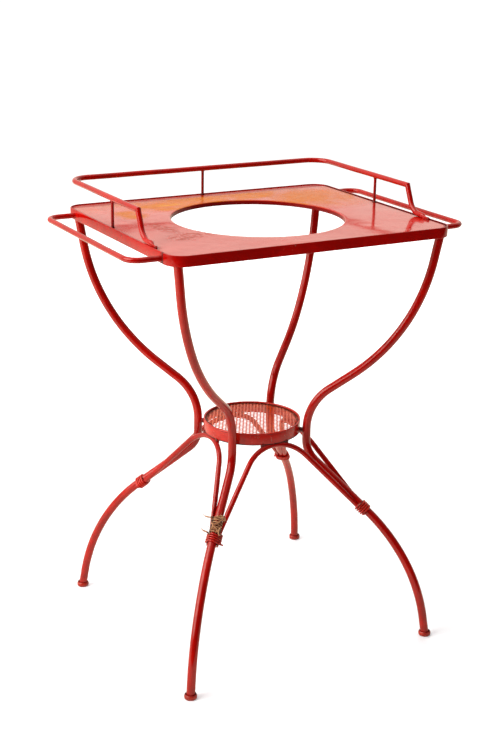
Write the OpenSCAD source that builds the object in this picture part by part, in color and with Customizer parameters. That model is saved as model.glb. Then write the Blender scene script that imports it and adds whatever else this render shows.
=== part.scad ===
// Iron wash basin stand: a flat-bar tray with a round basin hole on four
// S-bent tube legs, a low gallery rail on three sides, a towel rail on each
// short side and a small perforated shelf held where the legs draw together.
// Millimetres, +Z up. The origin is on the floor below the tray's middle and
// the open front of the gallery faces -Y.

/* [Tray] */
// Width of the tray over its rim, left to right
tray_w = 560; // [440:5:700]
// Depth of the tray over its rim, front to back
tray_d = 458; // [378:2:560]
// Height of the rim's top edge above the floor
tray_h = 800; // [660:5:960]
// Outer radius of the tray's corners
corner_r = 32; // [26:1:46]
// Height of the flat bar that makes the rim
rim_h = 19; // [16:1:26]
// Thickness of the rim's flat bar
rim_t = 2.5; // [2:0.5:3.5]
// Depth of the tray sheet below the rim's top edge
lip = 1.8; // [1:0.2:3]
// Thickness of the tray sheet
sheet_t = 1.2; // [0.8:0.1:2]
// Diameter of the basin hole
hole_d = 317; // [240:1:330]
// Distance from the tray's middle forward to the hole's centre
hole_shift = 8; // [0:1:15]
// Length of the turned-down edge round the basin hole
hole_edge_h = 7; // [4:0.5:10]
// Side length of the corner gussets under the sheet
gusset_w = 62; // [56:1:74]
// Thickness of the corner gussets
gusset_t = 3; // [2:0.5:4]

/* [Legs] */
// Outer diameter of the leg tube
leg_d = 16; // [12:0.5:19]
// Wall of the leg tube
leg_wall = 1.5; // [1:0.1:2]
// Direction of the legs' waists, in degrees from the left-right line
waist_angle = 41.2; // [39:0.1:44]
// Distance between the feet, left to right
foot_w = 507; // [420:1:600]
// Distance between the feet, front to back
foot_d = 495; // [410:1:590]
// Height of the lower corner of the waist's bend
waist_low_h = 350; // [300:1:380]
// Distance between the two corners of the waist's bend
waist_gap = 98; // [90:1:130]
// Lean of the legs' tops, in degrees from upright
top_lean = 10; // [6:0.1:14]
// Lean of the legs' feet, in degrees from upright
foot_lean = 9.7; // [5:0.1:14]
// Bend radius of the knees under the tray
knee_high_r = 360; // [240:5:380]
// Bend radius of the waist's upper corner
waist_high_r = 100; // [70:1:110]
// Bend radius of the waist's lower corner
waist_low_r = 52; // [40:1:55]
// Bend radius of the knees above the floor
knee_low_r = 350; // [240:5:370]

/* [Feet] */
// Diameter of the foot cups
cup_d = 24; // [22:0.5:28]
// Height of the foot cups
cup_h = 9; // [7:0.5:12]
// Thickness of a cup's floor
cup_floor = 2; // [1.5:0.5:3]

/* [Gallery rail] */
// Diameter of the gallery and towel rods
rod_d = 10; // [7:0.5:11]
// Height of the gallery rod's centre above the rim
gallery_h = 50; // [38:1:70]
// Bend radius of the gallery's two rear corners
gallery_bend_r = 38; // [25:1:50]
// Distance from the tray's middle forward to the gallery's mitred corners
gallery_stop = 85; // [60:1:100]
// Lean of the gallery's front ends, in degrees from upright
end_lean = 24; // [10:1:30]
// Bend radius at the foot of each gallery end
end_bend_r = 30; // [20:1:32]
// Length of rod that lies on the tray at each gallery end
end_foot = 38; // [36:1:46]
// Thickness of the flattened tab at each gallery end
tab_t = 2.5; // [2:0.5:3.5]
// Length of the flattened tab
tab_l = 18; // [17:1:20]
// Diameter of the gallery's posts
post_d = 5; // [4:0.5:6.5]
// Distance the rear post stands to the right of the tray's middle
post_shift = 5; // [-40:1:40]
// Distance the side posts stand behind the tray's middle
post_back = 22; // [0:1:60]
// Diameter of the flange at a post's foot
flange_d = 7; // [6.5:0.5:9]

/* [Towel rails] */
// Distance from the rim out to the towel rail's centre
towel_reach = 55; // [40:1:80]
// Distance from the tray's front and rear edges in to a towel rail's arms
towel_inset = 45; // [39:1:89]
// Bend radius of a towel rail's corners
towel_bend_r = 24; // [16:1:32]
// Distance of the towel rails below the rim's top edge
towel_drop = 11; // [10.8:0.1:13]
// Diameter of the threaded end of each arm
spigot_d = 6; // [5:0.5:6.5]
// Width of the towel rails' nuts across the flats
nut_w = 9; // [8.5:0.1:9.4]
// Thickness of the towel rails' nuts
nut_t = 5; // [4:0.5:6]

/* [Shelf] */
// Diameter of the shelf over its hoop
shelf_d = 185; // [150:1:190]
// Height of the hoop's lower edge above the floor
shelf_low_h = 388; // [384:1:392]
// Height of the hoop's flat bar
hoop_h = 21; // [18:1:26]
// Thickness of the hoop's flat bar
hoop_t = 2.5; // [2:0.5:3.5]
// Depth of the perforated disc below the hoop's top edge
grille_drop = 3; // [1:0.5:6]
// Thickness of the perforated disc
grille_t = 1.2; // [0.8:0.1:2]
// Distance between neighbouring perforations
grille_pitch = 9.6; // [9.2:0.1:16]
// Diameter of the perforations
grille_hole_d = 6.2; // [3:0.1:7]
// Plain border of the perforated disc
grille_border = 6; // [4:0.5:12]
// Diameter of the wire ring that carries the disc
ring_d = 3; // [2:0.5:4]
// Diameter of the studs that hold the shelf to the legs
stud_d = 5; // [4:0.5:6]
// Height of the studs above the hoop's lower edge
stud_h = 5; // [4.8:0.1:6]
// Diameter of the stud heads and spacers
stud_head_d = 9; // [8:0.5:9.5]
// Length of the spacers between the hoop and the legs
spacer_l = 5.8; // [4:0.1:10]

/* [Arch rods] */
// Diameter of the arch rods
arch_d = 10; // [7:0.5:11]
// Distance from the shelf's edge in to each arch's crown
arch_in = 4.5; // [0.5:0.5:12.5]
// Radius of each arch's crown
arch_crown_r = 78; // [55:1:90]
// Distance from the waist's lower corner down the leg to the wire wraps
wrap_run = 152; // [145:1:156]
// Angle of each rod round the leg from its inner side
arch_side = 65; // [60:1:80]
// Thickness of a rod's flattened ends
arch_flat = 4; // [3.4:0.1:6]
// Length of rod held against the leg above the middle of the wraps
arch_lead = 12; // [11:1:30]
// Run of the bend where a rod leaves the leg
arch_run = 8; // [6:1:10]
// Length of rod below the middle of the wraps
arch_tail = 13; // [13:1:20]
// Half distance between the two lugs of one arch
lug_half_gap = 25; // [15:1:40]
// Side length of the lugs
lug_w = 6; // [4:0.5:7]

/* [Wire and twine] */
// Diameter of the binding wire
wire_d = 3.4; // [2.4:0.1:4]
// Loops of wire at each leg
wire_loops = 4; // [3:1:5]
// Diameter of the twine
twine_d = 3.4; // [2.4:0.1:4]
// Loops of twine at the front left leg
twine_loops = 7; // [4:1:8]

/* [Fits] */
// Gap between the rim and the post flanges and tabs beside it
rim_gap = 0.1; // [0.1:0.1:0.5]
// Gap between a leg's top and the rim beside it
leg_gap = 0.2; // [0.1:0.1:0.5]
// Gap between an arch rod and the leg
rod_gap = 0.2; // [0.1:0.1:0.6]
// Gap between the wound wire and what it binds
wrap_gap = 0.4; // [0.3:0.1:0.8]
// Gap between one loop and the next
loop_gap = 1; // [0.6:0.1:1.4]
// Gap between a crown and the hoop above it
crown_gap = 0.5; // [0.3:0.1:1]
// Play of a stud, spigot or rivet in its hole, on the diameter
hole_play = 0.3; // [0.2:0.1:0.6]

/* [Hidden] */
$fn = 64;
eps = 0.01;
swell = 0.1;
reach_in = 1;
seam_turn = 50;
red = [0.68, 0.11, 0.09];
deep_red = [0.5, 0.06, 0.06];
twine_brown = [0.55, 0.42, 0.27];

// Corners by name: the signs of x and y.
FL = [-1, -1];
FR = [1, -1];
RL = [-1, 1];
RR = [1, 1];

// ---- Levels and half sizes ----
half_w = tray_w / 2;
half_d = tray_d / 2;
rim_low = tray_h - rim_h;
sheet_top = tray_h - lip;
sheet_low = sheet_top - sheet_t;
gusset_low = sheet_low - gusset_t;
inner_r = corner_r - rim_t;
shelf_r = shelf_d / 2;
hoop_in_r = shelf_r - hoop_t;
shelf_top_h = shelf_low_h + hoop_h;
grille_top = shelf_top_h - grille_drop;
grille_low = grille_top - grille_t;
leg_r = leg_d / 2;
rod_r = rod_d / 2;
arch_r = arch_d / 2;
arch_out = shelf_r - arch_in;

// ---- Small helpers ----
function unit(v) = v / norm(v);
function flip(p, s) = [p[0] * s[0], p[1] * s[1], p[2]];
function flip_all(points, s) = [for (p = points) flip(p, s)];
// Angle between two unit directions.
function turn(a, b) = acos(max(-1, min(1, a * b)));
// Run of a bend of radius r between two unit directions.
function bend_run(r, a, b) = r * tan(turn(a, b) / 2);

// A cylinder from a to b, turned about its axis so that its seam line stays
// clear of the seam lines of the bends that it meets.
module rod(a, b, d) {
    way = b - a;
    translate(a)
        rotate([0, acos(way[2] / norm(way)), atan2(way[1], way[0])])
            rotate(seam_turn)
                cylinder(d = d, h = norm(way));
}

// The bend at corner p between the directions a and b. Its run is the
// distance from the corner to where the bend starts.
module bend(p, a, b, run, d) {
    angle = turn(a, b);
    radius = run / tan(angle / 2);
    up = unit(cross(a, b));
    inward = cross(up, a);
    centre = p - run * a + radius * inward;
    multmatrix([
        [-inward[0], a[0], up[0], centre[0]],
        [-inward[1], a[1], up[1], centre[1]],
        [-inward[2], a[2], up[2], centre[2]],
        [0, 0, 0, 1]
    ])
        rotate_extrude(angle = angle)
            translate([radius, 0])
                circle(d = d);
}

// A bar bent at the inner points of a path, as on a tube bender. runs holds
// one run for each inner point. Bending swells the bar by a trace, and the
// straight lengths reach a little way into the bends.
module bent_bar(points, runs, d) {
    last = len(points) - 1;
    ways = [for (i = [0:last - 1]) unit(points[i + 1] - points[i])];
    for (i = [0:last - 1]) {
        a = i == 0 ? points[0] : points[i] + (runs[i - 1] - reach_in) * ways[i];
        b = i == last - 1 ? points[last] : points[i + 1] - (runs[i] - reach_in) * ways[i];
        rod(a, b, d);
    }
    for (i = [1:last - 1])
        bend(points[i], ways[i - 1], ways[i], runs[i - 1], d + 2 * swell);
}

// What is made at the right rear leg, mirrored to the corner s.
module mirrored(s) {
    mirror([s[0] < 0 ? 1 : 0, 0, 0])
        mirror([0, s[1] < 0 ? 1 : 0, 0])
            children();
}

// ---- Tray ----
// A quarter ring, for the rim's and the sheet's corners.
module quarter(r_in, r_out, h) {
    rotate_extrude(angle = 90)
        translate([r_in, 0])
            square([r_out - r_in, h]);
}

// The same quarter at each of the tray's four corners.
module at_corners() {
    for (i = [0:3])
        translate([
            (i == 0 || i == 3 ? 1 : -1) * (half_w - corner_r),
            (i < 2 ? 1 : -1) * (half_d - corner_r),
            0
        ])
            rotate([0, 0, 90 * i])
                children();
}

// Where the towel rails' arms meet the rim, as signs.
ARMS = [FL, FR, RL, RR];
arm_y = half_d - towel_inset;
arm_z = tray_h - towel_drop;

module tray_rim() {
    color(red)
        difference() {
            translate([0, 0, rim_low])
                union() {
                    at_corners() quarter(inner_r, corner_r, rim_h);
                    for (s = [-1, 1]) {
                        translate([-(half_w - corner_r), s * (half_d - rim_t / 2) - rim_t / 2, 0])
                            cube([tray_w - 2 * corner_r, rim_t, rim_h]);
                        translate([s * (half_w - rim_t / 2) - rim_t / 2, -(half_d - corner_r), 0])
                            cube([rim_t, tray_d - 2 * corner_r, rim_h]);
                    }
                }
            for (s = ARMS)
                rod([s[0] * (half_w - rim_t - 1), s[1] * arm_y, arm_z],
                    [s[0] * (half_w + 1), s[1] * arm_y, arm_z],
                    spigot_d + hole_play);
        }
}

// Places of the gallery's three posts and of its two tab rivets.
gallery_x = half_w - rim_t - rim_gap - flange_d / 2;
gallery_y = half_d - rim_t - rim_gap - flange_d / 2;
gallery_z = tray_h + gallery_h;
tenon_d = post_d - 1;
foot_z = sheet_top + rod_r + 2 * swell;
end_drop = gallery_z - foot_z;
end_corner_y = -gallery_stop - end_drop * tan(end_lean);
tab_y = end_corner_y - end_foot;
tab_w = flange_d;
rivet_y = tab_y + 4 - tab_l + tab_w / 2;
rivet_d = 4;
POSTS = [[post_shift, gallery_y], [-gallery_x, post_back], [gallery_x, post_back]];
RIVETS = [[-gallery_x, rivet_y], [gallery_x, rivet_y]];

module tray_plate() {
    hole_r = hole_d / 2;
    side = half_w - rim_t;
    front = half_d - rim_t;
    color(red)
        difference() {
            union() {
                translate([0, 0, sheet_low]) {
                    at_corners() quarter(0, inner_r, sheet_t);
                    translate([-(half_w - corner_r), -front, 0])
                        cube([tray_w - 2 * corner_r, 2 * front, sheet_t]);
                    for (s = [-1, 1])
                        translate([s * (side + half_w - corner_r) / 2 - inner_r / 2, -(half_d - corner_r), 0])
                            cube([inner_r, tray_d - 2 * corner_r, sheet_t]);
                }
                translate([0, -hole_shift, sheet_top - hole_edge_h - sheet_t])
                    cylinder(r = hole_r + sheet_t, h = hole_edge_h + sheet_t / 2, $fn = 180);
            }
            translate([0, -hole_shift, sheet_top - 3 * hole_edge_h])
                cylinder(r = hole_r, h = 5 * hole_edge_h, $fn = 180);
            for (p = POSTS)
                translate([p[0], p[1], sheet_low - 1])
                    cylinder(d = tenon_d + hole_play, h = sheet_t + 2);
            for (p = RIVETS)
                translate([p[0], p[1], sheet_low - 1])
                    cylinder(d = rivet_d + hole_play, h = sheet_t + 2);
        }
}

// A corner plate under the sheet that takes the top of one leg. Its inner
// edge is cut off on the skew.
module corner_gusset(s) {
    far_x = half_w - rim_t;
    far_y = half_d - rim_t;
    mid_x = half_w - corner_r;
    mid_y = half_d - corner_r;
    arm = gusset_w - corner_r + rim_t;
    color(red)
        translate([0, 0, gusset_low])
            mirror([s[0] < 0 ? 1 : 0, 0, 0])
                mirror([0, s[1] < 0 ? 1 : 0, 0]) {
                    translate([mid_x, mid_y, 0]) quarter(0, inner_r, gusset_t);
                    linear_extrude(gusset_t)
                        polygon([
                            [mid_x, mid_y], [far_x, mid_y], [far_x, mid_y - arm],
                            [far_x - 12, mid_y - arm], [mid_x - arm, far_y - 12],
                            [mid_x - arm, far_y], [mid_x, far_y]
                        ]);
                }
}

// ---- Legs ----
// Each leg is bent in two upright planes that meet in its vertical waist.
waist_r = shelf_r + spacer_l + leg_r;
waist = waist_r * [cos(waist_angle), sin(waist_angle)];
waist_high_h = waist_low_h + waist_gap;
corner_reach = (inner_r - leg_r / cos(top_lean) - leg_gap) / sqrt(2);
leg_top = [half_w - corner_r + corner_reach, half_d - corner_r + corner_reach];
leg_foot = [foot_w / 2, foot_d / 2];

// Each knee lies on the line along which the leg's end leans, at a share of
// the height between the waist's corner and that end.
high_share = 0.419;
low_share = 0.457;
knee_high_h = waist_high_h + high_share * (gusset_low - waist_high_h);
knee_low_h = low_share * waist_low_h;
end_h = cup_h / 2;

up_way = leg_top - waist;
up_out = norm(up_way);
knee_high_out = up_out - (gusset_low - knee_high_h) * tan(top_lean);
low_way = leg_foot - waist;
low_out = norm(low_way);
knee_low_out = low_out - (knee_low_h - end_h) * tan(foot_lean);

// A point of the right rear leg, at a distance out from the waist.
function out_point(way, out, z) = [
    waist[0] + out * unit(way)[0],
    waist[1] + out * unit(way)[1],
    z
];
// The tube starts past its cut ends, and its bore starts past the tube.
function leg_path(past) = [
    out_point(up_way, up_out + past * sin(top_lean), gusset_low + past * cos(top_lean)),
    out_point(up_way, knee_high_out, knee_high_h),
    [waist[0], waist[1], waist_high_h],
    [waist[0], waist[1], waist_low_h],
    out_point(low_way, knee_low_out, knee_low_h),
    out_point(low_way, low_out + past * sin(foot_lean), end_h - past * cos(foot_lean))
];
trim = 7;
leg_points = leg_path(trim);
leg_ways = [for (i = [0:4]) unit(leg_points[i + 1] - leg_points[i])];
leg_spans = [for (i = [0:4]) norm(leg_points[i + 1] - leg_points[i])];

// Direction and height of the stud that joins the hoop to a leg.
stud_way = unit([waist[0], waist[1], 0]);
stud_z = shelf_low_h + stud_h;

// Run of each bend, limited so that straight tube stays on both sides of it
// and beside the spacer.
min_straight = 20;
waist_high_run = min(
    bend_run(waist_high_r, leg_ways[1], leg_ways[2]),
    waist_high_h - stud_z - stud_head_d / 2
);
waist_low_run = bend_run(waist_low_r, leg_ways[2], leg_ways[3]);
leg_runs = [
    min(
        bend_run(knee_high_r, leg_ways[0], leg_ways[1]),
        leg_spans[0] - trim - min_straight,
        leg_spans[1] - waist_high_run - min_straight
    ),
    waist_high_run,
    waist_low_run,
    min(
        bend_run(knee_low_r, leg_ways[3], leg_ways[4]),
        leg_spans[4] - trim - min_straight,
        leg_spans[3] - waist_low_run - min_straight
    )
];

// A point on a stud's axis, at a distance from the stand's axis.
function stud_point(s, r) = flip(r * stud_way + [0, 0, stud_z], s);

module leg(s) {
    points = flip_all(leg_points, s);
    top = points[0];
    foot = points[5];
    color(red)
        difference() {
            bent_bar(points, leg_runs, leg_d);
            bent_bar(flip_all(leg_path(trim + 1), s), leg_runs, leg_d - 2 * leg_wall);
            translate([top[0] - leg_d, top[1] - leg_d, gusset_low])
                cube([2 * leg_d, 2 * leg_d, 2 * leg_d]);
            translate([foot[0] - leg_d, foot[1] - leg_d, cup_floor - 2 * leg_d])
                cube([2 * leg_d, 2 * leg_d, 2 * leg_d]);
            rod(stud_point(s, waist_r - leg_d), stud_point(s, waist_r), stud_d + hole_play);
        }
}

// A pressed cup that the tube stands in, with a rolled edge.
module foot_cup(s) {
    r = cup_d / 2;
    well_r = leg_r + 1.7;
    color(deep_red)
        translate([s[0] * leg_foot[0], s[1] * leg_foot[1], 0])
            rotate_extrude()
                polygon([
                    [0, 0], [r - 2.2, 0], [r - 0.8, 1], [r - 0.1, 2.8], [r, cup_h / 2],
                    [r - 0.3, cup_h - 2.4], [r - 1, cup_h - 0.6], [r - 1.6, cup_h],
                    [well_r + 0.2, cup_h], [well_r, cup_h - 0.4], [well_r, cup_floor], [0, cup_floor]
                ]);
}

// ---- Gallery ----
// Both mitres lie in the plane that halves the corner between the side rod
// and the leaning end.
end_way = [0, -sin(end_lean), -cos(end_lean)];
mitre_tilt = (90 - end_lean) / 2;

// A block that fills one side of the mitre plane at the left or right.
module mitre_block(side, front) {
    size = 6 * rod_d;
    translate([side * gallery_x, -gallery_stop, gallery_z])
        rotate([mitre_tilt, 0, 0])
            translate([-size / 2, front ? -size : 0, -size / 2])
                cube(size);
}

module gallery_rail() {
    ends = -gallery_stop - 2 * rod_d;
    run = gallery_bend_r;
    color(red)
        difference() {
            bent_bar([
                [-gallery_x, ends, gallery_z],
                [-gallery_x, gallery_y, gallery_z],
                [gallery_x, gallery_y, gallery_z],
                [gallery_x, ends, gallery_z]
            ], [run, run], rod_d);
            mitre_block(-1, true);
            mitre_block(1, true);
        }
}

module gallery_end(side) {
    corner = [side * gallery_x, end_corner_y, foot_z];
    start = [side * gallery_x, -gallery_stop, gallery_z] - 2 * rod_d * end_way;
    color(red)
        difference() {
            union() {
                difference() {
                    bent_bar([start, corner, [side * gallery_x, tab_y, foot_z]],
                        [bend_run(end_bend_r, end_way, [0, -1, 0])], rod_d);
                    mitre_block(side, false);
                }
                translate([side * gallery_x, tab_y, foot_z])
                    rotate([90, 0, 0])
                        translate([0, 0, -1])
                            cylinder(d1 = rod_d - 0.6, d2 = 0.4 * rod_d, h = 5);
                translate([side * gallery_x, tab_y + 4, sheet_top]) {
                    translate([0, -tab_l + tab_w / 2, 0]) cylinder(d = tab_w, h = tab_t);
                    translate([-tab_w / 2, -tab_l + tab_w / 2, 0])
                        cube([tab_w, tab_l - tab_w / 2, tab_t]);
                }
            }
            translate([side * gallery_x, rivet_y, sheet_top - 1])
                cylinder(d = rivet_d + hole_play, h = tab_t + 2);
        }
}

// A post: tenon through the sheet with a closed head below, flange on the
// sheet, shaft, and a flared top saddled to the rod above.
module gallery_post(p) {
    flare = 3;
    head_t = 1.5;
    along_x = p[1] == gallery_y;
    color(red)
        difference() {
            translate([p[0], p[1], 0]) {
                translate([0, 0, sheet_low - head_t]) cylinder(d = flange_d - 1, h = head_t);
                translate([0, 0, sheet_low - eps]) cylinder(d = tenon_d, h = sheet_t + 2 * eps);
                translate([0, 0, sheet_top]) cylinder(d = flange_d, h = head_t);
                translate([0, 0, sheet_top + head_t - eps])
                    cylinder(d = post_d, h = gallery_z - sheet_top - head_t);
                translate([0, 0, gallery_z - rod_r - flare + 0.5])
                    cylinder(d1 = post_d - 0.6, d2 = post_d + flare, h = flare);
            }
            rod([p[0] - (along_x ? rod_d : 0), p[1] - (along_x ? 0 : rod_d), gallery_z],
                [p[0] + (along_x ? rod_d : 0), p[1] + (along_x ? 0 : rod_d), gallery_z], rod_d);
        }
}

// One rivet through each flattened tab and the sheet.
module gallery_tab_rivets() {
    head = 2;
    head_d = tab_w - 1;
    color(deep_red)
        for (p = RIVETS)
            translate([p[0], p[1], 0]) {
                translate([0, 0, sheet_low - head]) cylinder(d = head_d, h = head);
                translate([0, 0, sheet_low - eps])
                    cylinder(d = rivet_d, h = sheet_t + tab_t + 2 * eps);
                translate([0, 0, sheet_top + tab_t]) cylinder(d1 = head_d, d2 = rivet_d, h = head);
            }
}

// ---- Towel rails ----
module towel_rail(side) {
    x_in = side * half_w;
    x_out = side * (half_w + towel_reach);
    spigot_l = rim_t + nut_t + 2;
    color(red) {
        bent_bar([
            [x_in, arm_y, arm_z], [x_out, arm_y, arm_z],
            [x_out, -arm_y, arm_z], [x_in, -arm_y, arm_z]
        ], [towel_bend_r, towel_bend_r], rod_d);
        for (s = [-1, 1])
            rod([x_in + side * eps, s * arm_y, arm_z],
                [x_in - side * spigot_l, s * arm_y, arm_z], spigot_d);
    }
}

module towel_rail_nuts() {
    color(deep_red)
        for (s = ARMS)
            translate([s[0] * (half_w - rim_t), s[1] * arm_y, arm_z])
                rotate([0, -90 * s[0], 0])
                    difference() {
                        rotate([0, 0, 30]) cylinder(d = nut_w / cos(30), h = nut_t, $fn = 6);
                        translate([0, 0, -1]) cylinder(d = spigot_d + hole_play, h = nut_t + 2);
                    }
}

// ---- Shelf ----
module shelf_hoop() {
    color(red)
        difference() {
            translate([0, 0, shelf_low_h]) cylinder(r = shelf_r, h = hoop_h, $fn = 120);
            translate([0, 0, shelf_low_h - 1]) cylinder(r = hoop_in_r, h = hoop_h + 2, $fn = 120);
            for (s = ARMS)
                rod(stud_point(s, hoop_in_r - 4), stud_point(s, shelf_r + 4), stud_d + hole_play);
        }
}

// A disc with perforations on a staggered grid.
module shelf_grille() {
    reach = hoop_in_r - grille_border - grille_hole_d / 2;
    row = grille_pitch * sin(60);
    rows = floor(reach / row);
    color(red)
        difference() {
            translate([0, 0, grille_low]) cylinder(r = hoop_in_r, h = grille_t, $fn = 120);
            for (j = [-rows:rows]) {
                shift = abs(j) % 2 * grille_pitch / 2;
                count = ceil(reach / grille_pitch);
                for (i = [-count:count]) {
                    x = i * grille_pitch + shift;
                    if (norm([x, j * row]) <= reach)
                        translate([x, j * row, grille_low - 1])
                            cylinder(d = grille_hole_d, h = grille_t + 2, $fn = 16);
                }
            }
        }
}

// The wire ring welded inside the hoop, just under the disc.
module grille_ring() {
    color(red)
        translate([0, 0, grille_low - ring_d / 2])
            rotate_extrude($fn = 120)
                translate([hoop_in_r - ring_d / 2, 0])
                    circle(d = ring_d, $fn = 24);
}

// Four studs: a head inside the hoop and a shaft that screws into the leg.
module shelf_studs() {
    head = 3;
    color(deep_red)
        for (s = ARMS) {
            difference() {
                rod(stud_point(s, hoop_in_r - head), stud_point(s, hoop_in_r + 1), stud_head_d);
                difference() {
                    translate([0, 0, shelf_low_h]) cylinder(r = shelf_r, h = hoop_h, $fn = 120);
                    translate([0, 0, shelf_low_h - 1])
                        cylinder(r = hoop_in_r, h = hoop_h + 2, $fn = 120);
                }
            }
            rod(stud_point(s, hoop_in_r - 1), stud_point(s, waist_r - leg_r + 2 * leg_wall), stud_d);
        }
}

// Four short sleeves between the hoop and the legs, cut to both.
module shelf_spacers() {
    color(deep_red)
        for (s = ARMS)
            difference() {
                rod(stud_point(s, shelf_r - 1), stud_point(s, waist_r - leg_r + 2), stud_head_d);
                rod(stud_point(s, shelf_r - 2), stud_point(s, waist_r), stud_d + hole_play);
                translate([0, 0, stud_z - stud_head_d])
                    cylinder(r = shelf_r, h = 2 * stud_head_d, $fn = 120);
                translate([s[0] * waist[0], s[1] * waist[1], stud_z - stud_head_d])
                    cylinder(d = leg_d, h = 2 * stud_head_d);
            }
}

// ---- Arch rods ----
// Directions at the wraps of the right rear leg: down the leg, sideways and
// towards the leg's inner side.
shin = unit(leg_points[4] - leg_points[3]);
sideways = unit([-shin[1], shin[0], 0]);
inner = cross(sideways, shin);
wrap_centre = leg_points[3] + wrap_run * shin;

// Centre of a rod beside the leg. hand is 1 for the rear arch's rod and -1
// for the side arch's rod.
rod_out = leg_r + rod_gap + arch_flat - arch_r;
function beside(hand) = rod_out * (cos(arch_side) * inner + hand * sin(arch_side) * sideways);
function guide(hand) = wrap_centre + beside(hand) - arch_lead * shin;
function tail(hand) = wrap_centre + beside(hand) + arch_tail * shin;

// Corner of an arch's two straight sides, above its crown. span is the half
// distance between the guides, rise the height of the crown over them.
function arch_slope(span, rise) =
    asin(arch_crown_r / norm([span, rise - arch_crown_r]))
    + atan2(rise - arch_crown_r, span);
crown_z = shelf_low_h - crown_gap - arch_r;

// Points of the rear arch, from its right end to its left end.
function rear_arch() =
    let (g = guide(1), mid = [0, g[1], g[2]], crown = [0, arch_out, crown_z])
    let (rise = norm(crown - mid), slope = arch_slope(g[0], rise))
    [tail(1), g, mid + g[0] * tan(slope) * unit(crown - mid), flip(g, RL), flip(tail(1), RL)];

// Points of the right arch, from its rear end to its front end.
function side_arch() =
    let (g = guide(-1), mid = [g[0], 0, g[2]], crown = [arch_out, 0, crown_z])
    let (rise = norm(crown - mid), slope = arch_slope(g[1], rise))
    [tail(-1), g, mid + g[1] * tan(slope) * unit(crown - mid), flip(g, FR), flip(tail(-1), FR)];

module arch_bar(points, d) {
    a = unit(points[2] - points[1]);
    b = unit(points[3] - points[2]);
    bent_bar(points, [arch_run, bend_run(arch_crown_r, a, b), arch_run], d);
}

// Both ends are forged flat where they lie against the legs a and b.
module arch_rod(points, hand, a, b) {
    color(red)
        difference() {
            arch_bar(points, arch_d);
            mirrored(a) leg_side(hand);
            mirrored(b) leg_side(hand);
        }
}

// A block on the leg's side of the flat that a rod's end lies on.
module leg_side(hand) {
    out = unit(beside(hand));
    over = cross(shin, out);
    depth = 2 * leg_d;
    half = 3 * arch_d;
    up = wrap_run - leg_runs[2];
    multmatrix([
        [out[0], over[0], shin[0], wrap_centre[0]],
        [out[1], over[1], shin[1], wrap_centre[1]],
        [out[2], over[2], shin[2], wrap_centre[2]],
        [0, 0, 0, 1]
    ])
        translate([leg_r + rod_gap - depth, -half, -up])
            cube([depth, 2 * half, up + 2 * arch_tail]);
}

// The crown's bend alone.
module arch_crown(points) {
    a = unit(points[2] - points[1]);
    b = unit(points[3] - points[2]);
    bend(points[2], a, b, bend_run(arch_crown_r, a, b), arch_d + 2 * swell);
}

// Two small blocks on each crown, saddled to the rod, up to the hoop.
module arch_lugs() {
    mid_r = shelf_r - hoop_t / 2;
    off = sqrt(mid_r * mid_r - lug_half_gap * lug_half_gap);
    paths = [rear_arch(), flip_all(rear_arch(), FR), side_arch(), flip_all(side_arch(), RL)];
    lug_h = arch_d * 0.8;
    color(deep_red)
        for (k = [0:3]) {
            outward = k == 0 ? [0, 1] : k == 1 ? [0, -1] : k == 2 ? [1, 0] : [-1, 0];
            along = [outward[1], outward[0]];
            difference() {
                for (s = [-1, 1])
                    let (c = off * outward + s * lug_half_gap * along)
                        translate([c[0] - lug_w / 2, c[1] - lug_w / 2, shelf_low_h - lug_h])
                            cube([lug_w, lug_w, lug_h]);
                arch_crown(paths[k], $fn = 240);
            }
        }
}

// ---- Windings ----
// Centre of a rod, seen along the leg, at a height up the leg from the
// wraps: beside the leg, then through its bend, then away along its slope.
function slope_way(hand) =
    let (path = hand > 0 ? rear_arch() : side_arch())
    unit(path[2] - path[1]);
function rod_at(hand, up) =
    let (way = slope_way(hand), c = -way * shin, x = (up - arch_lead) / arch_run)
    let (t = x <= -1 ? 0 : x >= c ? 1 : (1 - sqrt(1 - (1 - c) * (1 + x))) / (1 - c))
    let (off = t == 0 ? -(up - arch_lead) * shin
        : t == 1 ? way * (up - arch_lead) / c
        : arch_run * ((1 - t) * (1 - t) * shin + t * t * way))
    let (p = guide(hand) + off - wrap_centre + up * shin)
    [p * inner, p * sideways];

// The circles that a winding goes round at a height: the leg and two rods,
// each as [centre, radius], in the plane square to the leg. Past its bend a
// rod is cut on the skew, so its circle is larger.
function skew(hand, up) = up > arch_lead - arch_run ? 1 / (-slope_way(hand) * shin) : 1;
function bundle(up) = [
    [[0, 0], leg_r],
    [rod_at(1, up), arch_r * skew(1, up)],
    [rod_at(-1, up), arch_r * skew(-1, up)]
];
// Distance of the tight path's tangent with the outward angle a.
function reach(circles, a, off) =
    max([for (c = circles) c[0] * [cos(a), sin(a)] + c[1] + off]);
// Corner of the tight path round the circles, at a distance off their
// surface, where the tangents with the angles a and b cross.
function hug(circles, a, b, off) =
    let (p = reach(circles, a, off), q = reach(circles, b, off))
    [p * sin(b) - q * sin(a), q * cos(a) - p * cos(b)] / sin(b - a);

LOOP_RINGS = 24;
WIRE_SIDES = 6;
// Centre line of a winding of so many loops from the height low up the leg.
function winding(loops, d, low, start) =
    let (pitch = d + loop_gap, count = loops * LOOP_RINGS)
    let (line = [
        for (i = [0:count])
            let (up = low + pitch * i / LOOP_RINGS, a = start + 360 * i / LOOP_RINGS)
            let (q = hug(bundle(up), a, a + 360 / LOOP_RINGS, d / 2 + wrap_gap))
            wrap_centre - up * shin + q[0] * inner + q[1] * sideways
    ])
    let (first = unit(line[0] - line[1]), last = unit(line[count] - line[count - 1]))
    concat([line[0] + d * first], line, [line[count] + d * last]);

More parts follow.
